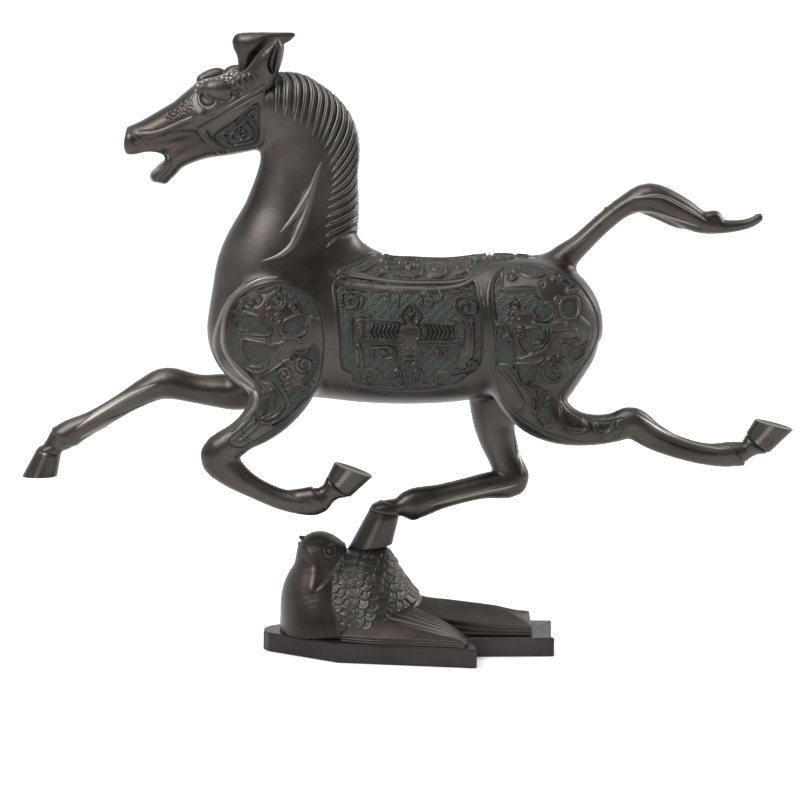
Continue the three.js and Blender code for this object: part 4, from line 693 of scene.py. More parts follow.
def carve(q, drawing):
    """Height and wear-and-highlight value of a drawing: grained grounds are sunk between figures with a fine double
    edge. The grounds take the green of the recesses, and rims, raised lines, ropes and studs are painted lighter as
    highlights.
    """
    edge = np.full(len(q), np.inf)
    for outline in drawing.get("grounds", [drawing["outline"]]):
        edge = np.minimum(edge, outline_distance(q, rounded(outline, True)))
    for outline in drawing.get("plates", []):
        edge = np.maximum(edge, -outline_distance(q, rounded(outline, True, 3)))
    ground = step_up(edge)
    grain = grained(q) * step_up(edge + 0.5, 0.6)
    rim = np.exp(-(((edge - 0.5) / 0.3) ** 2)) - 0.9 * np.exp(-(((edge - 1.3) / 0.26) ** 2))
    height = -GROUND_DEPTH * ground + 0.22 * grain + 0.3 * rim * (1 - ground)
    # The rims beside the grounds are lightened: a painted highlight.
    wear_and_highlight = (1 - ground) * (1 + 0.3 * rim) + (0.4 + 0.4 * grain) * ground
    drawn = [rounded(line) if len(line) > 2 else line for line in drawing["lines"]]
    drawn += [spiral(*numbers) for numbers in drawing.get("spirals", [])]
    for x, bend in drawing.get("ribs", []):
        drawn.append(rounded([(x - 0.6 * bend, 161.6), (x + 0.9 * bend, 159), (x - 0.6 * bend, 156)]))
    for z in drawing.get("bars", []):
        drawn.append([(-2.2, z), (1.8, z)])
    weight = drawing.get("weight", 0.38)
    for line in drawn:
        d = line_distance(q, line)
        up = step_up(d - weight, 0.5)
        back = 0.45 * np.sqrt(np.clip(1 - (d / (weight + 0.3)) ** 2, 0, 1))
        groove = step_up(np.abs(d - weight - 0.6) - 0.2, 0.4)
        height = height * (1 - up) + (np.maximum(height, 0) + back) * up - 0.3 * groove * (1 - ground)
        # Raised lines take the lightest colour, a painted highlight, and the grooves beside them are darker.
        wear_and_highlight = np.where(up > 0.3, WORN_AND_LIT, wear_and_highlight - 0.8 * groove * (1 - ground))
    for line in drawing.get("ropes", []):
        d, walked, side = along_line(q, rounded(line))
        band = step_up(d - 1.35)
        twist = np.cos(2 * np.pi * (walked + 0.8 * side) / 1.45) * step_up(d - 0.85)
        border = step_up(np.abs(d - 1.15) - 0.16, 0.3)
        height = np.where(band > 0.02, (1 - band) * height + band * (0.45 * twist + 0.35 * border), height)
        # The rope's twists and border are painted lighter as highlights, and the hollows between them are darker.
        wear_and_highlight = np.where(band > 0.5, 0.8 + 0.5 * twist + 0.4 * border, wear_and_highlight)
    for x, z in drawing.get("studs", []):
        d = np.hypot(q[:, 0] - x, q[:, 1] - z)
        height += 0.45 * step_up(d - 0.75, 0.6) - 0.4 * step_up(np.abs(d - 1.15) - 0.15, 0.35)
        # The stud's top is painted lighter as a highlight.
        wear_and_highlight = np.where(d < 0.7, 1.2, wear_and_highlight)
    return height, np.clip(wear_and_highlight, 0, WORN_AND_LIT)


def outward(quad, points, out):
    """The quads, turned so that they face out."""
    crossed = np.cross(points[quad[:, 2]] - points[quad[:, 0]], points[quad[:, 3]] - points[quad[:, 1]])
    return quad if (crossed * out[quad[:, 0]]).sum() > 0 else quad[:, ::-1]


def open_edges(quad, count):
    """The edges that only one of the quads has, in its direction round."""
    edges = np.concatenate([quad[:, [k, (k + 1) % 4]] for k in range(4)])
    return edges[~np.isin(edges @ (count, 1), edges @ (1, count))]


def backed(quad, top, low, keep, number, block=4):
    """Points and faces of a skin with a front of quads, walls round its border and a back that follows the form.

    The kept cells of a lattice make the skin, and number gives its points. Behind, a whole block of cells is one
    face, which takes in the points between its corners only on a side where finer faces meet it.
    """
    rows, columns = np.array(keep.shape) // block
    whole = np.pad(keep[: rows * block, : columns * block].reshape(rows, block, columns, block).all((1, 3)), 1)
    fine, behind = keep.copy(), []
    for a, b in np.argwhere(whole):
        i, j = (a - 1) * block, (b - 1) * block
        fine[i : i + block, j : j + block] = False
        face = []
        for di, dj, beside in ((1, 0, whole[a, b - 1]), (0, 1, whole[a + 1, b]), (-1, 0, whole[a, b + 1]),
                               (0, -1, whole[a - 1, b])):
            face += [number[i + di * k, j + dj * k] for k in range(0, block, block if beside else 1)]
            i, j = i + di * block, j + dj * block
        behind.append(face)
    i, j = np.nonzero(fine)
    behind += np.stack([number[i, j], number[i + 1, j], number[i + 1, j + 1], number[i, j + 1]], 1).tolist()
    i, j = np.argwhere(keep)[0]
    turn = -1 if quad[0, 0] == number[i, j] else 1
    used = np.unique(np.concatenate(behind))
    place = np.full(len(top), -1)
    place[used] = len(top) + np.arange(len(used))
    faces = quad.tolist() + [place[face[::turn]].tolist() for face in behind]
    rim = open_edges(quad, len(top))
    return np.vstack([top, low[used]]), faces + np.hstack([rim[:, ::-1], place[rim]]).tolist()


def skinned(quad, top, low):
    """Points and faces of a skin closed by walls round its border and one hidden face, through the low points."""
    after = dict(open_edges(quad, len(top)).tolist())
    faces, points = quad.tolist(), [top]
    count = len(top)
    while after:
        first, here = after.popitem()
        loop = [first]
        while here != first:
            loop.append(here)
            here = after.pop(here)
        under = list(range(count, count + len(loop)))
        faces += [(b, a, c, d) for a, b, c, d in zip(loop, loop[1:] + loop[:1], under, under[1:] + under[:1])]
        faces.append(under[::-1])
        points.append(low[loop])
        count += len(loop)
    return np.vstack(points), faces


def loft(rings, closed=False):
    """A closed skin over rings with the same number of points."""
    rings = np.asarray(rings)
    n, m = rings.shape[:2]
    faces = []
    for i in range(n if closed else n - 1):
        for k in range(m):
            here, after, right = i * m, (i + 1) % n * m, (k + 1) % m
            faces.append((here + k, here + right, after + right, after + k))
    if not closed:
        faces += [tuple(range(m))[::-1], tuple(range((n - 1) * m, n * m))]
    points = rings.reshape(-1, 3)
    corners = ((f[0], f[k], f[k + 1]) for f in faces for k in range(1, len(f) - 1))
    volume = sum(points[a] @ np.cross(points[b], points[c]) for a, b, c in corners)
    return points, (faces if volume > 0 else [f[::-1] for f in faces])


def bead(name, form, look, line, half, rise, taper=0.15, soft=False, worn_and_lit=0.1):
    """A raised line that follows the form and sinks into it at both ends: round-backed, or a soft ridge."""
    path = rounded(line, steps=8)
    spots, out = look(form, path)
    across = np.cross(np.gradient(spots, axis=0), out)
    across /= np.linalg.norm(across, axis=1)[:, None]
    t = np.linspace(0, 1, len(path))
    full = np.clip(np.minimum(t, 1 - t) / taper, 0.02, 1)[:, None] ** 0.7
    if soft:
        a = np.linspace(-1, 1, 15)
        section = [(u * 1.9, rise * math.exp(-4 * u * u), -0.1) for u in a] + [(1.7, 0, -1.3), (-1.7, 0, -1.3)]
    else:
        a = np.linspace(0, 2 * np.pi, 14, endpoint=False)
        section = [(math.cos(u), rise * max(math.sin(u), 0) ** 0.8, 1.2 * min(math.sin(u), 0) - 0.12) for u in a]
    rings = [spots + across * half * u * full + out * (lift * full + low) for u, lift, low in section]
    points, faces = loft(np.stack(rings, 1))
    # The top of the bead is lightened in proportion to its lift: a painted highlight along the ridge.
    wear_and_highlight = np.tile([1 + worn_and_lit * max(lift, 0) / rise for _, lift, _ in section], len(path))
    return piece(name, points, faces, *HORSE, wear_and_highlight)


def lattice(nx, nz):
    """Index pairs of a lattice and the quads between them."""
    number = np.arange(nx * nz).reshape(nx, nz)
    quad = np.stack([number[:-1, :-1], number[1:, :-1], number[1:, 1:], number[:-1, 1:]], -1).reshape(-1, 4)
    return np.stack(np.meshgrid(np.arange(nx), np.arange(nz), indexing="ij"), -1).reshape(-1, 2), quad


def smooth_lattice(form, nx, nz, place, look, skip=3, rounds=4):
    """Lays a lattice on the form: only each third node is looked up and evened out, the rest lie between."""
    cx, cz = nx // skip + 2, nz // skip + 2
    nodes, quads = lattice(cx, cz)
    spots, out = look(form, place(nodes * skip))
    both = np.hstack([relax(spots, quads, rounds), out]).reshape(cx, cz, 6)
    at = lattice(nx, nz)[0] / skip
    i, k = np.floor(at).astype(int).T
    t, u = (at - np.floor(at)).T[:, :, None]
    mixed = both[i, k] * (1 - t) * (1 - u) + both[i + 1, k] * t * (1 - u)
    mixed += both[i, k + 1] * (1 - t) * u + both[i + 1, k + 1] * t * u
    return mixed[:, :3], mixed[:, 3:] / np.maximum(np.linalg.norm(mixed[:, 3:], axis=1), 1e-9)[:, None]


def border(drawing, side=NEAR):
    """The outline of a drawing. The far legs stand differently, so their panels stop higher."""
    return rounded(drawing["outline"] if side == NEAR else drawing.get("far", drawing["outline"]), True)


def patch(name, form, look, drawing, look_slot, step=CARVING_STEP, side=NEAR):
    """A carved skin that lies on the form. It runs a little past its outline and dives into the form there."""
    outline = border(drawing, side)
    low, high = outline.min(0) - 3, outline.max(0) + 3
    nx, nz = (np.ceil((high - low) / step).astype(int) + 1)
    grid = lattice(nx, nz)[0]
    q = low + grid * step
    edge = outline_distance(q, outline)
    middles = edge.reshape(nx, nz)
    margin = drawing.get("margin", 2.4)
    keep = (middles[:-1, :-1] + middles[1:, :-1] + middles[:-1, 1:] + middles[1:, 1:]) / 4 < margin
    used = np.zeros((nx, nz), bool)
    for a in (0, 1):
        for b in (0, 1):
            used[a : a + nx - 1, b : b + nz - 1] |= keep
    picked = np.flatnonzero(used.reshape(-1))
    points, out = smooth_lattice(form, nx, nz, lambda node: low + node * step, look)
    q, edge, points, out = q[picked], edge[picked], points[picked], out[picked]
    number = np.full(nx * nz, -1)
    number[picked] = np.arange(len(picked))
    number = number.reshape(nx, nz)
    i, j = np.nonzero(keep)
    quad = np.stack([number[i, j], number[i + 1, j], number[i + 1, j + 1], number[i, j + 1]], 1)
    quad = outward(quad, points, out)
    drawn = np.stack([q[:, 0], np.abs(q[:, 1])], 1) if "mirror" in drawing else q
    height, wear_and_highlight = carve(drawn, drawing)
    groove = step_up(np.abs(edge + 0.2) - 0.3, 0.5)
    inside = step_up(edge + 0.2)
    height = inside * height + (1 - inside) * 0.06 - 0.6 * groove
    wear_and_highlight = np.minimum(np.where(edge < -0.2, wear_and_highlight, 1), 1 - groove)
    height = height - 0.5 * np.clip((edge - 1.6) / 0.8, 0, 1)
    top, under = points + out * height[:, None], points - out * SKIN
    made, faces = backed(quad, top, under, keep, number) if "backed" in drawing else skinned(quad, top, under)
    return piece(name, made, faces, *look_slot, np.append(wear_and_highlight, np.ones(len(made) - len(wear_and_highlight))))


# Materials
def node_material(name):
    material = bpy.data.materials.new(name)
    material.use_nodes = True
    tree = material.node_tree
    return material, tree, tree.nodes["Principled BSDF"]


def add_node(tree, kind, sockets=None, **settings):
    """A shader node with its settings. What goes into a socket is a value, or another node's output."""
    made = tree.nodes.new("ShaderNode" + kind)
    for key, value in settings.items():
        setattr(made, key, value)
    for key, value in (sockets or {}).items():
        if isinstance(value, bpy.types.NodeSocket):
            tree.links.new(value, made.inputs[key])
        else:
            made.inputs[key].default_value = value
    return made


def bronze(name, dark, light, worn_and_lit, roughness):
    """Dark patinated bronze with green and dust in the recesses of the carving. Relief above 1 mixes in a light
    colour: wear on high places, and a painted highlight on rims, raised lines and ridges.
    """
    material, tree, shader = node_material(name)
    place = add_node(tree, "TexCoord").outputs["Object"]

    def noise(**numbers):
        return add_node(tree, "TexNoise", {"Vector": place, **numbers}).outputs["Fac"]

    def ramp(share, *stops):
        made = add_node(tree, "ValToRGB", {"Fac": share})
        for element, (position, color) in zip(made.color_ramp.elements, stops):
            element.position, element.color = position, (*color, 1)
        return made.outputs["Color"]

    def mapped(value, ends, to):
        names = ("From Min", "From Max", "To Min", "To Max")
        return add_node(tree, "MapRange", {"Value": value, **dict(zip(names, (*ends, *to)))}).outputs["Result"]

    def mixed(share, a, b):
        return add_node(tree, "Mix", {"Factor": share, 6: a, 7: b}, data_type="RGBA").outputs[2]

    def math_node(operation, *values):
        return add_node(tree, "Math", dict(enumerate(values)), operation=operation).outputs[0]

    cloud = noise(Scale=26, Detail=6, Roughness=0.6)
    relief = add_node(tree, "Attribute", attribute_name="relief").outputs["Fac"]
    depth = math_node("SUBTRACT", 1, relief)
    tone = ramp(cloud, (0.34, dark), (0.68, light))
    verdigris = ramp(noise(Scale=60, Detail=3), (0.42, (0.012, 0.015, 0.013)), (0.72, (0.015, 0.044, 0.030)))
    # Relief above 1 mixes in the light colour: partly wear, partly a painted highlight on rims, lines and ridges.
    edge = mapped(relief, (1, WORN_AND_LIT), (0, 0.9))
    colour = mixed(edge, mixed(depth, tone, verdigris), (*worn_and_lit, 1))
    metallic = math_node("MULTIPLY_ADD", edge, -0.35, mapped(relief, (0, 1), (0.3, 0.85)))
    rough = mapped(cloud, (0.3, 0.7), (roughness - 0.06, roughness + 0.08))
    dull = math_node("MULTIPLY_ADD", depth, 0.25, rough)
    bump = add_node(tree, "Bump", {"Strength": 0.12, "Distance": 0.0003, "Height": noise(Scale=520, Detail=4)})
    for socket, value in (("Base Color", colour), ("Metallic", metallic), ("Roughness", dull),
                          ("Normal", bump.outputs["Normal"])):
        tree.links.new(value, shader.inputs[socket])
    return material


HORSE_BRONZE = bronze("horse_bronze", (0.034, 0.027, 0.024), (0.078, 0.070, 0.064), (0.50, 0.46, 0.42), 0.35)
SWALLOW_BRONZE = bronze("swallow_bronze", (0.032, 0.025, 0.022), (0.064, 0.055, 0.050), (0.24, 0.21, 0.19), 0.37)
PLINTH_BRONZE = bronze("plinth_bronze", (0.030, 0.026, 0.025), (0.052, 0.046, 0.044), (0.18, 0.16, 0.15), 0.4)

HORSE = HORSE_BRONZE, "horse_bronze", "horse"
SWALLOW = SWALLOW_BRONZE, "swallow_bronze", "swallow"
PLINTH = PLINTH_BRONZE, "plinth_bronze", "plinth"

# The horse
TAIL_SHEET = [(110, 2.6, 213.6, 2, 3), (118, 3, 211.2, 2.8, 4), (127, 3, 207, 2.6, 3.6), (134, 3, 203.8, 0.8, 1.2)]
horse_form = joined([
    (limb(TORSO, 6), 0), (limb(NECK, 10), 12), (limb(SKULL, 10), 7), (limb(JAW), 3.5), (limb(LIPS), 2),
    (limb(FOREHEAD), 3), (limb(NEAR_BROW), 1.4), (limb(FAR_BROW), 1.4), (limb(NEAR_FORELEG), 5),
    (limb(FAR_FORELEG), 5), (limb(NEAR_HIND_LEG), 6), (limb(FAR_HIND_LEG), 6), (limb(TAIL), 5),
    (limb(TAIL_KNOT), 1), (limb(TAIL_SHEET), 0.5), (limb(WITHERS), 8), (limb(FAR_ERGOT), 2),
])


PANELS = [("flank", FLANK), ("shoulder", SHOULDER), ("haunch", HAUNCH)]
# The saddle cloth, drawn from above as (x, y). Its figures repeat on both sides of the spine.
SADDLE_HALF = [
    (-14, 0), (-19, 7), (-25, 12.5), (-33, 17), (-37, 19.4), (-28, 20.6), (-16, 21.2), (-5, 21.6), (11, 21.6),
    (24, 20.6), (31, 17.4), (36, 12.6), (44, 10), (57, 8.4), (60, 4),
]
SADDLE = {
    "backed": True,
    "outline": SADDLE_HALF + [(61, 0)] + [(x, -y) for x, y in SADDLE_HALF[:0:-1]],
    "mirror": True,
    "plates": [
        [(-34, 17.6), (-24, 12), (-18, 6.5), (-15.6, 4), (-13, 8), (-20, 15), (-30, 19)],
        [(8, 6), (16.6, 6), (16.6, 17), (8, 17)], [(19, 6), (27, 6), (27, 15.6), (19, 17)],
        [(30, 0), (36, 0), (36, 5), (33, 8.6), (30, 9)], [(40, 3), (48, 3), (50, 6), (42, 7)],
    ],
    "lines": [
        [(-10, 19.4), (4, 19.4), (16, 19.4), (26, 18)],
        [(-12, 4.4), (-6, 4.4), (-6, 9), (-11, 9), (-11, 12.6), (-3, 12.6)],
        [(-9, 17), (4.6, 17), (4.6, 3.4), (-2, 3.4)], [(-16, 18), (-12, 16), (-14, 14)], [(38, 0), (38, 8.4)],
        [(51, 2), (56, 2), (56, 5.4), (52, 5.4)], [(28.4, 3), (28.4, 13)], [(-10, 0.8), (36, 0.8)],
    ],
    "spirals": [
        (0, 9.6, 3.6, 1.6, 0, 1), (12.3, 11.4, 2.4, 1.2, 1, 1), (23, 10.6, 2.4, 1.2, 2, -1),
        (45, 4.6, 1.2, 1, 0, 1),
    ],
    "studs": [(33, 4), (-22, 15.4), (-27, 17)],
}
SADDLE_EDGE = [
    (-35, 184.6), (-28, 184), (-16, 182.6), (-5.5, 181.4), (11, 181), (24.5, 182), (31.5, 185.4), (37, 190),
]
# The panel on the root of the tail, as distances along it and round it, and where that root is.
TAIL_PANEL = {
    "backed": True,
    "outline": [(3, -6.4), (12, -7), (26, -7), (32, -5), (34.4, 0), (32, 5), (26, 7), (12, 7), (3, 6.4), (2, 0)],
    "lines": [[(8, -4), (22, -4), (24, 0), (22, 4), (8, 4)], [(29, -3), (31, 0), (29, 3)]],
}
TAIL_ROOT = np.array([73.5, 0, 190.2])
TAIL_AXIS, TAIL_UP, TAIL_RADIUS = np.array([0.76, 0, 0.65]), np.array([-0.65, 0, 0.76]), 5.4
TAIL_LINES = [
    [(106, 219.6), (118.7, 220.6), (131.4, 214.6), (142, 207.9)],
    [(104, 212.6), (114, 213), (124, 210.2), (138, 205.6)],
]
# Lines on the legs as (side, points (x, z), half width, rise).
LEG_LINES = [
    (NEAR, [(-162.6, 104), (-150, 112), (-136, 120.4), (-122, 127.2)], 1.4, 0.35),
    (NEAR, [(-163, 98.4), (-153.5, 103.4), (-144.1, 108.2), (-133.9, 112.8), (-123.6, 117.6), (-112, 117.4)],
     1.3, 0.8),
    (NEAR, [(107, 119.4), (112, 115.4), (119.2, 110.4), (132.6, 105), (144.7, 102.6), (151, 103)], 1.3, 0.7),
    (NEAR, [(50, 107), (51.6, 98), (53.4, 90), (54.2, 84)], 1.3, 0.6),
    (NEAR, [(52.4, 79.4), (40, 76.6), (24, 73), (8, 69.4)], 1.2, 0.6),
]
# Feet: rings from a front and a rear point (x, z) with a half width, for the sleeve and pastern and for the hoof.
FEET = {
    "near_fore": (
        -24,
        [((-58, 82), (-58.5, 73.2), 4.6), ((-52, 82.7), (-50.6, 71.8), 5.6), ((-48, 83.5), (-43.6, 71.6), 6.2),
            ((-46.9, 83.7), (-39.9, 72.3), 6.4), ((-46.4, 83), (-38.9, 73.3), 6.1), ((-45.4, 82), (-39.2, 75), 4.9),
            ((-43.8, 82.9), (-38.1, 75.8), 4.6), ((-41.4, 84.4), (-36.2, 77.4), 4.6),
            ((-40.2, 87), (-32, 78.3), 5.2), ((-39.6, 88.4), (-29.8, 78.6), 5.4)],
        [((-39.4, 88.2), (-29.8, 78.7), 5.6), ((-38.9, 89.5), (-28.2, 79), 6.4),
            ((-36.1, 95.1), (-17.9, 88.4), 7.5)],
    ),
    "far_fore": (
        23,
        [((-157.6, 111), (-153, 103.2), 4.4), ((-163.5, 108.6), (-157, 99.4), 5.6),
            ((-170.6, 105.8), (-161.4, 95.8), 6.3), ((-173.8, 104.2), (-163.6, 95), 6.5),
            ((-174.2, 103), (-165.4, 94.9), 6.1), ((-173.4, 101.6), (-167.4, 96.4), 5),
            ((-174.6, 99.9), (-168.6, 94.6), 4.7), ((-176.4, 96.8), (-169, 92.6), 5),
            ((-180.6, 94.8), (-169.6, 91.4), 5.6), ((-181.4, 93.8), (-169.9, 90.8), 5.6)],
        [((-181.2, 94.2), (-170, 91.4), 5.8), ((-182, 92.9), (-169.9, 90.2), 6.5),
            ((-188.7, 80.6), (-171.6, 80.8), 7.7)],
    ),
    "near_hind": (
        -24,
        [((141, 104.2), (141.5, 94.6), 4.6), ((147, 104.6), (148.2, 93.8), 5.5), ((150.8, 105.2), (156, 93.5), 6.1),
            ((152.2, 105.1), (158.6, 93.8), 6.3), ((153.2, 104.2), (159.2, 94.8), 5.9),
            ((153.8, 102.6), (158.6, 96.8), 4.8), ((154.8, 103.6), (160.2, 96.6), 4.5),
            ((157.2, 104.2), (162.4, 99), 4.7), ((158.6, 106.9), (166, 99.4), 5.4),
            ((159.4, 108.4), (169.6, 99.7), 5.6)],
        [((159.5, 108.4), (169.8, 99.9), 5.8), ((159.8, 109.8), (171.2, 100.6), 6.4),
            ((163.5, 115.8), (181.8, 111), 7.5)],
    ),
    "far_hind": (
        2.2,
        [((-9.6, 71.4), (-5.6, 69.8), 3), ((-14.4, 72.3), (-4.9, 68.4), 4.8), ((-18.3, 70.3), (-5.1, 66.2), 5.9),
            ((-20, 67.6), (-5.3, 64.6), 6.6)],
        [((-18.4, 69.8), (-5.3, 66), 6), ((-21.2, 64.9), (-5.7, 62.4), 7.15), ((-29.9, 48.8), (-8.4, 51.2), 8.4)],
    ),
}
# Points round a foot, and the angles from the heel of the line on a hoof's side and of its hatched stretch, which is
# painted lighter as a highlight.
RING = 80
HOOF_LINE, HOOF_LIT_FACET = 122, 101
NECK_RIDGES = [
    [(-41.6, 238), (-43.4, 233.4), (-46.9, 224.2), (-51.4, 216.6), (-56.2, 210.2), (-62.2, 203.6)],
    [(-43, 233), (-45.4, 225.6), (-48.3, 215.6), (-52, 206.6), (-56.3, 198.2), (-62.6, 193.6), (-70.9, 190.9)],
]
SHOULDER_BANDS = [
    [(-78, 181), (-84.6, 173.6), (-89.4, 165), (-92.6, 155.1), (-92.6, 147), (-88.9, 138.9), (-82.3, 134.4),
        (-74.2, 130.4), (-73.4, 123.2), (-80.7, 115)],
    [(-62, 184), (-72, 182.2), (-81, 176.4), (-86.8, 167.6), (-89, 157.4), (-88, 148), (-82.6, 140.2), (-76, 134.6),
        (-73.4, 130.6)],
]


def lock_line(number, s):
    """A point (x, z) on a lock of the mane, from its crest (s = 0) to its point (s = 1)."""
    table = np.array(LOCKS, float)
    i = np.clip(number.astype(int), 0, len(LOCKS) - 2)
    t = (number - i)[:, None, None]
    crest, bend, point = (table[i] * (1 - t) + table[i + 1] * t).transpose(1, 0, 2)
    s = s[:, None]
    return (1 - s) ** 2 * crest + 2 * s * (1 - s) * bend + s * s * point


def mane():
    """The mane is one skin over the crest with a rounded lock at each whole number along it."""
    along, across = 17 * (len(LOCKS) - 1) + 12, 97
    span = len(LOCKS) - 0.1

    def place(node):
        return np.stack([-0.45 + span * node[:, 0] / (along - 1), 2 * node[:, 1] / (across - 1) - 1], 1)

    def look(form, nv):
        s = np.abs(nv[:, 1]) ** 1.4
        q = lock_line(nv[:, 0], s)
        return settle(form, np.stack([q[:, 0], np.sign(nv[:, 1]) * 13 * np.sqrt(s), q[:, 1]], 1), 8)

    grid, quad = lattice(along, across)
    n, v = place(grid).T
    points, out = smooth_lattice(horse_form, along, across, place, look)
    f = n + 0.5 - np.floor(n + 0.5)
    offset = np.abs(2 * f - 1)
    room = np.clip((1 - np.abs(v)) / 0.15, 0.02, 1) ** 0.6
    inside = np.clip(1 - (offset / room) ** 4, 0, 1) ** 0.6
    strands = (0.22 * np.cos(6 * np.pi * f) + 0.35 * (2 * f - 1)) * inside
    foot = np.where(np.abs(v) < 0.72, -0.7, -0.5)
    end = np.clip(np.minimum(n + 0.45, len(LOCKS) - 0.55 - n) / 0.35, 0, 1)
    height = (foot + (0.85 - foot) * inside * room**0.5 - strands) * end - 0.9 * (1 - end)
    crest = np.exp(-((v / 0.16) ** 2))
    height = height * (1 - 0.7 * crest) + 0.35 * crest
    # The colour is lighter on the backs of the locks and on one side of each, a painted highlight, and darker in the
    # gaps and strand grooves.
    wear_and_highlight = np.clip(0.35 + 0.6 * inside - 1.2 * strands, 0, 1.06)
    keep, number = np.ones((along - 1, across - 1), bool), np.arange(along * across).reshape(along, across)
    top, under = points + out * height[:, None], points - out * 2.6
    made, faces = backed(outward(quad, points, out), top, under, keep, number)
    piece("horse_mane", made, faces, *HORSE, np.append(wear_and_highlight, np.ones(len(made) - len(wear_and_highlight))))


def mane_area():
    """The outline of the mane where the body lies lower, as (x, z) points."""
    number = np.linspace(-0.3, len(LOCKS) - 0.7, 30)
    front = lock_line(number, np.full(30, 0.62))
    rear = lock_line(number, np.zeros(30))
    rear += (rear - front) * 0.4
    return np.vstack([front, rear[::-1]])


def spot_distance(q, spot):
    return np.hypot(q[:, 0] - spot[0], q[:, 1] - spot[1])


def horse_body():
    def form(p):
        return np.maximum(horse_form(p), -outline_distance(p[:, [0, 2]], HEAD_AREA) - 3)

    points, quads = mesh_form(form, (-190, -48, 42), (180, 48, 291), BODY_STEP)
    points, out = settle(form, points)
    points = relax(points, quads)
    q = points[:, [0, 2]]
    sunk = 1.7 * step_up(outline_distance(q, mane_area()) + 0.6, 1.6)
    for _, drawing in PANELS:
        for side in (NEAR, FAR):
            mine = side * points[:, 1] > 3
            edge = outline_distance(q[mine], border(drawing, side))
            sunk[mine] = np.maximum(sunk[mine], BED * step_up(edge - 0.2, 2))
    sunk = np.maximum(sunk, 1.3 * step_up(outline_distance(q, HEAD_AREA) + 1.2, 2))
    above = points[:, 2] > 170
    edge = outline_distance(points[above][:, :2], rounded(SADDLE["outline"], True))
    sunk[above] = np.maximum(sunk[above], BED * step_up(edge - 0.2, 2) * (out[above, 2] > 0.3))
    piece("horse_body", points - out * sunk[:, None], quads, *HORSE)


def folds(q, centre, reach, pitch, tilt):
    """A row of soft folds inside an ellipse."""
    x, z = q[:, 0] - centre[0], q[:, 1] - centre[1]
    u, v = x * math.cos(tilt) + z * math.sin(tilt), z * math.cos(tilt) - x * math.sin(tilt)
    fade = np.clip(1 - (u / reach[0]) ** 2 - (v / reach[1]) ** 2, 0, 1)
    return np.cos(2 * np.pi * (u + 0.25 * v) / pitch) * np.sqrt(fade)


def head_relief(q):
    """Height and wear-and-highlight value of the head's surface detail at points (x, z), the same on both sides. The
    value is darker in grooves and in the nostril, and paints a highlight on the lower lid.
    """
    height = np.zeros(len(q))
    for line, half, rise in HEAD_LINES:
        path = rounded(line)
        d, walked, _ = along_line(q, path)
        length = np.linalg.norm(np.diff(path, axis=0), axis=1).sum()
        full = np.clip(np.minimum(walked, length - walked) / 6, 0, 1)
        height = np.maximum(height, rise * full * np.exp(-2 * (d / half) ** 2))
    for line, half, rise in HEAD_STRAPS:
        height = np.maximum(height, rise * step_up(line_distance(q, rounded(line)) - half, 0.5))
    for line, half, depth in HEAD_GROOVES:
        height -= depth * step_up(line_distance(q, rounded(line)) - half, 0.6)
    # The colour is darker where the detail is sunk.
    wear_and_highlight = 1 + 0.75 * np.minimum(height, 0)
    height += 0.4 * folds(q, (-77.4, 274.6), (6.6, 5), 3.1, 0.25)
    height -= 0.22 * grained(q, 1.5) * step_up(outline_distance(q, PITTED), 1.5)
    # Eye: the ball and the lower lid, half under the heavy upper lid.
    r = spot_distance(q, EYE)
    eye = 1.3 * np.sqrt(np.clip(1 - (r / 3) ** 2, 0, 1)) - 0.35 * np.exp(-(((r - 1.3) / 0.25) ** 2))
    lid = 0.5 * np.exp(-(((r - 4.2) / 0.5) ** 2)) - 0.7 * np.exp(-(((r - 3.25) / 0.32) ** 2))
    near_eye = step_up(r - 5.2, 1) * np.clip(outline_distance(q, rounded(EYELID, True)) / 0.5 + 0.4, 0, 1)
    height = height * (1 - near_eye) + (eye + lid) * near_eye
    # The lower lid's ridge is painted lighter as a highlight, and the groove inside it is darker.
    wear_and_highlight = wear_and_highlight * (1 - near_eye) + np.clip(0.9 + 0.9 * lid, 0.1, 1.06) * near_eye
    # Nostril slit, cheekbone, and the bed of the carved cheek.
    d = line_distance(q, rounded([(-131.6, 250.4), (-130, 249), (-128.8, 247.6)]))
    height += 0.45 * np.exp(-((d / 0.7) ** 2))
    hole = np.exp(-((line_distance(q, [(-131.2, 248), (-130.2, 246.6)]) / 0.8) ** 2))
    height += 0.9 * np.exp(-((spot_distance(q, CHEEKBONE) / 2.6) ** 2)) - 1.2 * hole
    height -= BED * step_up(outline_distance(q, rounded(CHEEK["outline"], True)) - 0.2, 1.4)
    return height, np.clip(wear_and_highlight - 0.8 * hole, 0, 1.1)


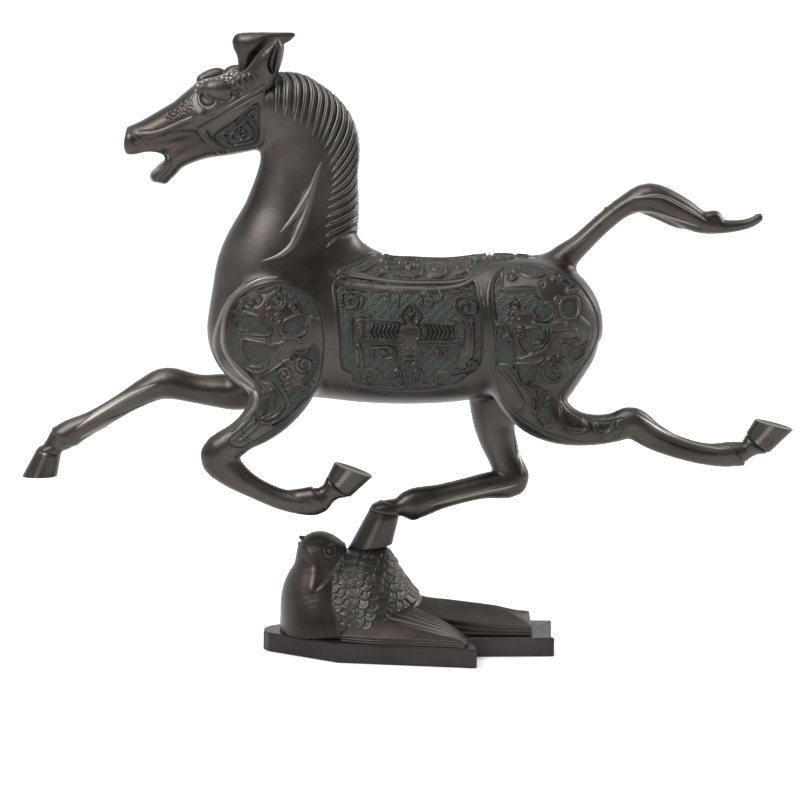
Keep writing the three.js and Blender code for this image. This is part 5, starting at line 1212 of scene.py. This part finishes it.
def head():
    ears = [joined([(limb(EAR), 0)]), joined([(limb(mirrored(EAR)), 0)])]
    hollows = [limb(EAR_HOLLOW), limb(mirrored(EAR_HOLLOW))]
    tongue = limb([(-114, 0, 235.4, 3, 3.8), (-118, 0, 232.2, 3.2, 3.6), (-121.4, 0, 228.8, 2.4, 3)])
    furrow = limb(NEAR_FURROW)
    mouth = rounded(MOUTH, True)
    # The flat front of the nose, as (normal, offset, rounding).
    ends = [(np.array([-0.982, 0, 0.186]), 179.1, 0.5), (np.array([-0.975, 0, -0.2]), 83.7, 1)]

    def form(p):
        d, q = horse_form(p), p[:, [0, 2]]
        for shape, hollow in zip(ears, hollows):
            d = blend(d, cut(shape(p), hollow(p), 0.8), 3)
        d = cut(d, outline_distance(q, mouth), 0.7)
        d = cut(blend(d, tongue(p), 0.4), furrow(p), 0.3)
        for normal, offset, rounding in ends:
            d = -blend(-d, offset - p @ normal, rounding)
        return np.maximum(d, outline_distance(q, HEAD_AREA))

    points, quads = mesh_form(form, (-140, -22, 220), (-56, 22, 300), HEAD_STEP)
    points, out = settle(form, points)
    points = relax(points, quads, 6)
    side = np.clip((np.abs(out[:, 1]) - 0.15) / 0.35, 0, 1)
    side *= np.abs(points[:, 1]) > 2.5
    height, wear_and_highlight = head_relief(points[:, [0, 2]])
    # The top of the forehead carries a band with small marks, and where it faces up it is painted lighter: a painted
    # highlight.
    x, y, z = points.T
    band = np.clip((out[:, 2] - 0.4) / 0.3, 0, 1) * np.clip((6.5 - y) / 2, 0, 1) * np.clip((-81 - x) / 2, 0, 1)
    band *= np.clip((x + 104) / 3, 0, 1) * np.clip(z - 270, 0, 1) * np.clip((y + 8.4) / 2.4, 0, 1)
    marks = grained(points[:, :2], 2.2)
    points = points + out * (0.25 * band * (marks - 0.5))[:, None]
    side = np.where(band > 0, np.maximum(side, band), side)
    # Painted highlight on the upward-facing band.
    wear_and_highlight = np.where(band > 0.05, 1 + band * (0.45 * marks - 0.05), wear_and_highlight)
    height = np.where(band > 0.05, 0, height)
    # Painted highlight inside the open mouth, on the tongue and the far lip.
    lit_mouth = (z < 237.4) & (x < -115.4) & (outline_distance(points[:, [0, 2]], mouth) < 0.8) & (np.abs(y) < 5)
    wear_and_highlight, side = np.where(lit_mouth, 1.15, wear_and_highlight), np.where(lit_mouth, 1, side)
    height = np.where(lit_mouth, 0, height)
    piece("horse_head", points + out * (height * side)[:, None], quads, *HORSE, 1 + (wear_and_highlight - 1) * side)


def level_rings(rings, count=44, steps=5):
    """Level rings (front x, rear x, half width, z, taper) joined by a smooth curve, pointed at the rear."""
    turn = np.linspace(0, 2 * np.pi, count, endpoint=False)
    rows = []
    for front, rear, half, z, taper in rounded(rings, steps=steps):
        along = -np.cos(turn)
        y = np.sin(turn) * half * (1 - taper * np.maximum(along, 0))
        rows.append(np.stack([(front + rear) / 2 + along * (rear - front) / 2, y, np.full(count, z)], 1))
    return rows


def forelock():
    rows = level_rings(FORELOCK)
    top = rows[-1]
    middle = top.mean(0)
    for k in (0.75, 0.5, 0.25):
        rows.append(middle + (top - middle) * k + (0, 0, 0.15))
    points, faces = loft(rows)
    grain = np.cos(points[:, 0] * 2 * np.pi / 1.5) * np.cos(points[:, 1] * 2 * np.pi / 1.5)
    points[:, 2] += 0.14 * grain * np.clip((points[:, 2] - 294.6) / 1.2, 0, 1)
    wear_and_highlight = np.clip(1 - 0.5 * (grain < 0) * (points[:, 2] > 295.4), 0, 1)
    piece("horse_forelock", points, faces, *HORSE, wear_and_highlight)


def from_tail(form, q):
    """Looks at the root of the tail from all round it, for drawings with (distance along, distance round)."""
    angle = q[:, 1] / TAIL_RADIUS
    away = np.cos(angle)[:, None] * TAIL_UP + np.sin(angle)[:, None] * np.array([0, 1, 0])
    middle = TAIL_ROOT + q[:, :1] * TAIL_AXIS
    spots = middle + 14 * away
    for _ in range(14):
        spots = spots - away * (0.8 * form(spots))[:, None]
    return settle(form, spots, 1)


def foot(name, y, sleeve, hoof):
    """A sleeve, the pastern that leaves it, and the hoof with its flat sole."""

    def rings(rows):
        turn = np.linspace(0, 2 * np.pi, RING, endpoint=False)
        along, across = np.cos(turn), np.sign(np.sin(turn)) * np.abs(np.sin(turn)) ** 0.85
        made = []
        for (fx, fz), (rx, rz), half in rows:
            made.append(np.stack([(fx + rx) / 2 + along * (fx - rx) / 2, y + across * half,
                                  (fz + rz) / 2 + along * (fz - rz) / 2], 1))
        return made

    def between(a, b, t):
        points = [tuple(np.array(p) * (1 - t) + np.array(r) * t) for p, r in zip(a[:2], b[:2])]
        return points + [a[2] * (1 - t) + b[2] * t]

    ends = [between(sleeve[0], sleeve[0][:2][::-1] + (0.2,), 0.48)]
    points, faces = loft(rings(ends + sleeve))
    piece(f"pastern_{name}", points, faces, *HORSE)
    coronet, wall, sole = hoof
    rows = [between(coronet, wall, t) for t in (0, 0.5, 0.8)]
    rows += [between(wall, sole, t) for t in np.linspace(0, 0.985, 16)] + [sole]
    inset = rings([sole])[0]
    middle = inset.mean(0)
    made = rings(rows)
    made[0] = made[0].mean(0) + (made[0] - made[0].mean(0)) * 0.9
    down = np.cross(inset[20] - middle, inset[0] - middle)
    down /= np.linalg.norm(down)
    if down @ (middle - made[0].mean(0)) < 0:
        down = -down
    for scale, deep in ((0.975, 0.22), (0.9, 0.25), (0.86, 0.05), (0.5, -0.3), (0.1, -0.35)):
        made.append(middle + (inset - middle) * scale + down * deep)
    points, faces = loft(made)
    # A line on each side parts the toe from the hatched quarter. The line is darker, and the quarter is painted
    # lighter as a highlight.
    turn = np.tile(np.abs(np.linspace(-180, 180, RING, endpoint=False)), len(made))
    row = np.repeat(np.arange(len(made)), RING)
    line = np.exp(-(((turn - HOOF_LINE) / 4) ** 2))
    hatch = np.cos(turn * 0.63 + row * 2.1)
    lit_facet = np.exp(-(((turn - HOOF_LIT_FACET) / 11) ** 2)) * (row < len(rows))
    points[:, 1] += (y - points[:, 1]) * (0.06 * line + 0.008 * hatch * lit_facet)
    wear_and_highlight = 0.97 - 0.55 * line + lit_facet * (0.1 + 0.12 * hatch)
    piece(f"hoof_{name}", points, faces, *HORSE, wear_and_highlight)


horse_body()
head()
mane()
forelock()
for name, drawing in PANELS:
    for side, word in SIDES:
        step = CARVING_STEP if side == NEAR else 1.25 * CARVING_STEP
        patch(f"{name}_{word}", horse_form, from_side(side), drawing, HORSE, step, side)
for side, word in SIDES:
    patch(f"cheek_{word}", horse_form, from_side(side), CHEEK, HORSE, CARVING_STEP)
patch("saddle", horse_form, from_above, SADDLE, HORSE, 0.42)
patch("tail_panel", horse_form, from_tail, TAIL_PANEL, HORSE)
for side, word in SIDES:
    for k, line in enumerate(NECK_RIDGES):
        bead(f"neck_ridge_{word}_{k}", horse_form, from_side(side), line, 1.9, 1, 0.6, soft=True, worn_and_lit=0.04)
    for k, line in enumerate(SHOULDER_BANDS):
        line = line if side == NEAR else line[:-2]
        bead(f"shoulder_band_{word}_{k}", horse_form, from_side(side), line, 1.3, 0.9, 0.12, soft=True)
    for k, line in enumerate(TAIL_LINES):
        bead(f"tail_line_{word}_{k}", horse_form, from_side(side), line, 1, 0.6, 0.3)
    bead(f"saddle_edge_{word}", horse_form, from_side(side), SADDLE_EDGE, 1.1, 0.4, 0.3, worn_and_lit=0)
for k, (side, line, half, rise) in enumerate(LEG_LINES):
    bead(f"leg_line_{k}", horse_form, from_side(side), line, half, rise, 0.3, soft=True)
for name, (y, sleeve, hoof) in FEET.items():
    foot(name, y, sleeve, hoof)


# The swallow. The mantle's edge runs from the nape down to the breast, and its feathers lie in rows.
MANTLE = [(-29, 51), (-31.5, 47.6), (-36.2, 40.6), (-41.7, 34.6), (-48, 29.6)]
FEATHERED = [
    (-30.4, 51), (-35, 43), (-36.8, 37), (-37, 28), (-36, 20), (-33.6, 12.8), (-28, 11.4), (-18, 12.6), (-8, 17.4),
    (2, 24), (9, 30), (9, 44), (-3, 53), (-12, 55), (-24, 55),
]
FEATHER_LONG, FEATHER_WIDE = 3.2, 5.6
WING = [
    ((-33.4, 29.4, 12.6), (-6, 6, 27), 4), ((-16, 36.4, 12.8), (3, 14, 23), 3.6),
    ((5, 40.2, 12.8), (16, 22, 18.4), 2), ((19, 42.8, 12.6), (24, 31, 14.8), 1.2),
    ((26, 44.4, 12.2), (27.6, 38.6, 13), 0.4),
]
FAN = [
    ((-12, -13, 22), (-12, 13, 22), 7), ((0, -15, 21.6), (0, 15, 21.6), 6), ((8, -15.6, 20), (8, 15.6, 20), 4.8),
    ((20, -16.4, 17.8), (20, 16.4, 17.8), 5.6), ((38, -17, 15.6), (38, 17, 15.6), 5.4),
    ((46, -17.2, 15.2), (46, 17.2, 15.2), 4.4), ((53, -17.4, 15), (53, 17.4, 15), 2.6),
    ((58.4, -17.6, 14.4), (58.4, 17.6, 14.4), 1.2),
]
# The flat on the swallow's back that carries the hoof: its normal, and where feathers end and it begins.
SEAT, FEATHERS_END, SEAT_HEIGHT = np.array([-0.114, 0, 0.9935]), 50.4, 51.2
PLINTH_HALF = [(-70.8, 4), (-68.2, 8.5), (-34.8, 34), (31.6, 46.5), (28.7, 21), (69.2, 20)]


def feather_rows(q):
    """Round-tipped feathers in rows, each over the roots of the next: height above the form, and a
    wear-and-highlight value with a painted highlight on each feather's raised rim and a darker edge.
    """
    down, across = np.array([0.5, -0.866]), np.array([0.866, 0.5])
    u, v = q @ down + 0.5 * np.sin(q[:, 0] * 0.21), q @ across
    row = np.floor(u / FEATHER_LONG)
    height, wear_and_highlight = np.zeros(len(q)), np.full(len(q), 0.6)
    for back in (0, 1, 2):
        number = row - back + 1
        shift = 0.5 * (number % 2) * FEATHER_WIDE
        column = np.round((v - shift) / FEATHER_WIDE)
        stray = 37.0 * number + 91 * column
        a = u - number * FEATHER_LONG + 0.5 * np.sin(stray)
        b = v - shift - column * FEATHER_WIDE + 0.5 * np.cos(1.7 * stray)
        tip = np.hypot(np.maximum(a, 0) / 3.9, b / (0.58 * FEATHER_WIDE)) * (1 + 0.1 * np.sin(2.3 * stray))
        cover = tip < 1
        lift = 0.15 + 0.9 * np.clip((a + FEATHER_LONG) / (2 * FEATHER_LONG), 0, 1)
        ring = 0.2 * np.exp(-(((tip - 0.78) / 0.12) ** 2)) - 0.4 * np.exp(-(((tip - 0.98) / 0.07) ** 2))
        ring -= 0.14 * np.exp(-(((tip - 0.5) / 0.1) ** 2))
        height = np.where(cover, lift + ring, height)
        # A painted highlight on each feather's raised rim, darker at its edge.
        wear_and_highlight = np.where(cover, 0.85 + 1.1 * ring, wear_and_highlight)
    return height, np.clip(wear_and_highlight, 0.3, 1.2)


def bird_relief(points):
    """Height and wear-and-highlight value of the swallow's mantle, feathers, eye and cheek."""
    q = points[:, [0, 2]]
    d, _, side = along_line(q, rounded(MANTLE, steps=4))
    coat = 0.9 * np.clip(0.5 + np.sign(side) * d / 0.9, 0, 1) * np.exp(-np.clip(d, 0, 20) / 6)
    coat *= np.clip((q[:, 0] + 46) / 5, 0, 1)
    area = step_up(outline_distance(q, rounded(FEATHERED, True, 12)) + 0.6, 2)
    spine = np.interp(q[:, 0], *zip(*SPINE))
    unrolled = spine - np.hypot(points[:, 1], np.maximum(spine - q[:, 1], 0))
    feather, wear_and_highlight = feather_rows(np.stack([q[:, 0], unrolled], 1))
    height = coat * (1 - area) + area * feather
    wear_and_highlight = 1 - area * (1 - wear_and_highlight)
    r = spot_distance(q, BIRD_EYE)
    eye = 1.1 * np.sqrt(np.clip(1 - (r / 1.2) ** 2, 0, 1)) + 0.5 * np.exp(-(((r - 2.7) / 0.42) ** 2))
    eye -= 0.5 * np.exp(-(((r - 1.75) / 0.4) ** 2)) + 0.35 * np.exp(-(((r - 3.4) / 0.3) ** 2))
    height += eye * step_up(r - 4.2, 1)
    cheek = line_distance(q, rounded([(-50.4, 51), (-47.6, 46.6), (-45.8, 40.6), (-47, 33)], steps=4))
    height += 0.6 * np.exp(-((cheek / 2.4) ** 2)) * (1 - area)
    return height, wear_and_highlight


def bird_body():
    lower = limb([(-47, 0, 49, 2.4, 3), (-51, 0, 50.4, 1.5, 1.7), (-53.2, 0, 51.5, 0.8, 1)])
    gape = limb([(-54.8, 0, 53.3, 0.7, 6), (-51.6, 0, 52.4, 0.45, 6), (-47.6, 0, 51.4, 0.25, 6)])
    soft = joined([(limb(stations, 6), width) for stations, width in
                   ((BIRD_BREAST, 0), (BIRD_BACK, 9), (BIRD_RUMP, 5), (BIRD_HEAD, 4))])

    def form(p):
        d = cut(blend(soft(p), lower(p), 1.2), gape(p), 0.3)
        return np.maximum(d, PLINTH_TOP - p[:, 2])

    points, quads = mesh_form(form, (-70, -40, 6), (20, 40, 64), BIRD_STEP)
    points, out = settle(form, points)
    points = relax(points, quads, 6)
    height, wear_and_highlight = bird_relief(points)
    head_side = np.clip(np.abs(out[:, 1]) / 0.3, 0, 1)
    shown = step_up(PLINTH_TOP + 0.8 - points[:, 2], 0.6)
    shown *= np.where(points[:, 0] < -31, head_side, step_up(points @ SEAT - FEATHERS_END, 1))
    points = points + out * (height * shown)[:, None]
    deep = points @ SEAT - SEAT_HEIGHT
    flat = (deep > 0) & (points[:, 0] > -31.2)
    points[flat] -= deep[flat, None] * SEAT
    piece("bird_body", points, quads, *SWALLOW, 1 - shown * (1 - wear_and_highlight))


# The side of a wing or of the tail below its edge, as (share of the height, depth): two lines run along it.
WALL = [(0.86, 0.02), (0.72, 0), (0.66, 0.4), (0.6, 0), (0.36, 0), (0.3, 0.4), (0.24, 0), (0, 0)]


def fluted(name, sections, flutes, depth, plain=(0, 0), fork=0.0):
    """A wing or the tail: flutes run from section to section, beside a plain edge as (share in front, behind)."""
    table = np.array([[*a, *b, arch] for a, b, arch in sections], float)
    table = rounded(table, steps=10)
    t = np.linspace(0, 1, 18 * flutes + 1)
    foot = PLINTH_TOP - 0.02
    rings, wear_and_highlight = [], []
    for k, row in enumerate(table):
        a, b, arch = row[:3], row[3:6], row[6]
        top = a + t[:, None] * (b - a)
        along = k / (len(table) - 1)
        if fork:
            top[:, 0] -= fork * (1 - np.abs(2 * t - 1)) * max(along - 0.6, 0) / 0.4
        edge = plain[0] * (1 - along) + plain[1] * along
        fade = np.clip((t - edge) / 0.05, 0, 1) * min(1.0, (0.35 if edge == 0 else 0.1) + 1.6 * along)
        groove = (np.abs(np.sin(np.pi * flutes * t)) ** 0.6 - 1) * fade
        top[:, 2] += arch * np.sin(np.pi * t) + depth * groove + 0.12 * np.cos(2 * np.pi * flutes * 3 * t) * fade
        inward = (b - a) * (1, 1, 0)
        inward /= np.linalg.norm(inward)
        walls = [(b - inward * deep) * (1, 1, 0) + (0, 0, foot + (b[2] - foot) * up) for up, deep in WALL]
        walls += [(a + inward * deep) * (1, 1, 0) + (0, 0, foot + (a[2] - foot) * up) for up, deep in WALL[::-1]]
        rings.append(np.vstack([top, walls]))
        wear_and_highlight.append(np.append(1 + 0.6 * groove, [1 - deep for _, deep in WALL + WALL[::-1]]))
    points, faces = loft(rings)
    piece(name, points, faces, *SWALLOW, np.concatenate(wear_and_highlight))


def plinth():
    half = np.array(PLINTH_HALF, float)
    outline = np.vstack([half, [(61.6, 0)], half[::-1] * (1, -1)])
    soft = []
    for before, corner, after in zip(np.roll(outline, 1, 0), outline, np.roll(outline, -1, 0)):
        bend = 1.2 if abs(corner[0]) < 66 else 0.8
        for end, shares in ((before, (0, 0.5)), (after, (0.5, 0))):
            way = (end - corner) / np.linalg.norm(end - corner)
            soft += [corner + way * bend * (1 - t) ** 2 for t in shares]
    rings = []
    for z, inset in ((0, 0.5), (0.5, 0), (4, 0), (PLINTH_TOP - 0.9, 0), (PLINTH_TOP - 0.35, 0.15),
                     (PLINTH_TOP, 0.7)):
        rings.append([(x * (1 - inset / 60), y * (1 - inset / 40), z) for x, y in soft])
    points, faces = loft(rings)
    obj = piece("plinth_slab", points, faces, *PLINTH)
    obj.data.polygons.foreach_set("use_smooth", np.zeros(len(obj.data.polygons), bool))


bird_body()
for side, word in SIDES:
    sections = [((a[0], side * a[1], a[2]), (b[0], side * b[1], b[2]), arch) for a, b, arch in WING]
    fluted(f"wing_{word}", sections, 8, 0.9, plain=(0.36, 0.12))
fluted("bird_tail", FAN, 13, 0.8, fork=6)
plinth()


# Stage, light and camera
CAMERA_TILT, CAMERA_DISTANCE, CAMERA_LENS = 9, 2.0, 187.5
CAMERA_TARGET = np.array([-4.8, 0, 121.5]) * MM


def studio():
    bpy.ops.mesh.primitive_plane_add(size=30, location=(0, 0, 0))
    floor = bpy.context.object
    floor.name = "floor"
    material, _, shader = node_material("floor_pale")
    shader.inputs["Base Color"].default_value = (0.9, 0.9, 0.9, 1)
    shader.inputs["Roughness"].default_value = 0.8
    floor.data.materials.append(material)
    floor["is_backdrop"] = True
    # A white room that is dimmer in front, so the bronze shows dark faces with bright edges.
    world = bpy.data.worlds.new("studio")
    bpy.context.scene.world = world
    world.use_nodes = True
    tree = world.node_tree
    split = add_node(tree, "SeparateXYZ", {0: add_node(tree, "TexCoord").outputs["Generated"]})
    depth = add_node(tree, "MapRange", {"Value": split.outputs["Y"], "From Min": -0.7, "From Max": 0.6,
                                        "To Min": 0.24, "To Max": 1.15})
    tree.links.new(depth.outputs["Result"], tree.nodes["Background"].inputs["Strength"])
    tree.nodes["Background"].inputs["Color"].default_value = (1, 1, 1, 1)

    def soft_light(name, place, size, power):
        lamp = bpy.data.lights.new(name, "AREA")
        lamp.shape = "RECTANGLE"
        lamp.size, lamp.size_y = size
        lamp.energy = power
        obj = bpy.data.objects.new(name, lamp)
        bpy.context.scene.collection.objects.link(obj)
        obj.location = place
        aim = np.array([0, 0, 0.15]) - np.array(place)
        flat = math.hypot(aim[0], aim[1])
        obj.rotation_euler = (math.atan2(flat, -aim[2]), 0, math.atan2(-aim[0], aim[1]))

    soft_light("key", (-0.9, -0.9, 1.3), (0.7, 0.7), 20)
    soft_light("rim", (1.2, 0.5, 0.9), (0.5, 0.9), 16)
    lamp = bpy.data.lights.new("day", "SUN")
    lamp.energy, lamp.angle = 1.5, math.radians(40)
    day = bpy.data.objects.new("day", lamp)
    bpy.context.scene.collection.objects.link(day)
    day.rotation_euler = (math.radians(12), math.radians(-14), 0)
    bpy.context.scene.view_settings.view_transform = "Standard"


def camera():
    lens = bpy.data.cameras.new("camera")
    lens.sensor_width, lens.lens = 36, CAMERA_LENS
    lens.clip_end = 100
    obj = bpy.data.objects.new("camera", lens)
    bpy.context.scene.collection.objects.link(obj)
    tilt = math.radians(CAMERA_TILT)
    obj.location = CAMERA_TARGET + CAMERA_DISTANCE * np.array([0, -math.cos(tilt), math.sin(tilt)])
    obj.rotation_euler = (math.pi / 2 - tilt, 0, 0)
    bpy.context.scene.camera = obj


studio()
camera()
[[list(corner) for corner in box] for box in (cad_box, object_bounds())]
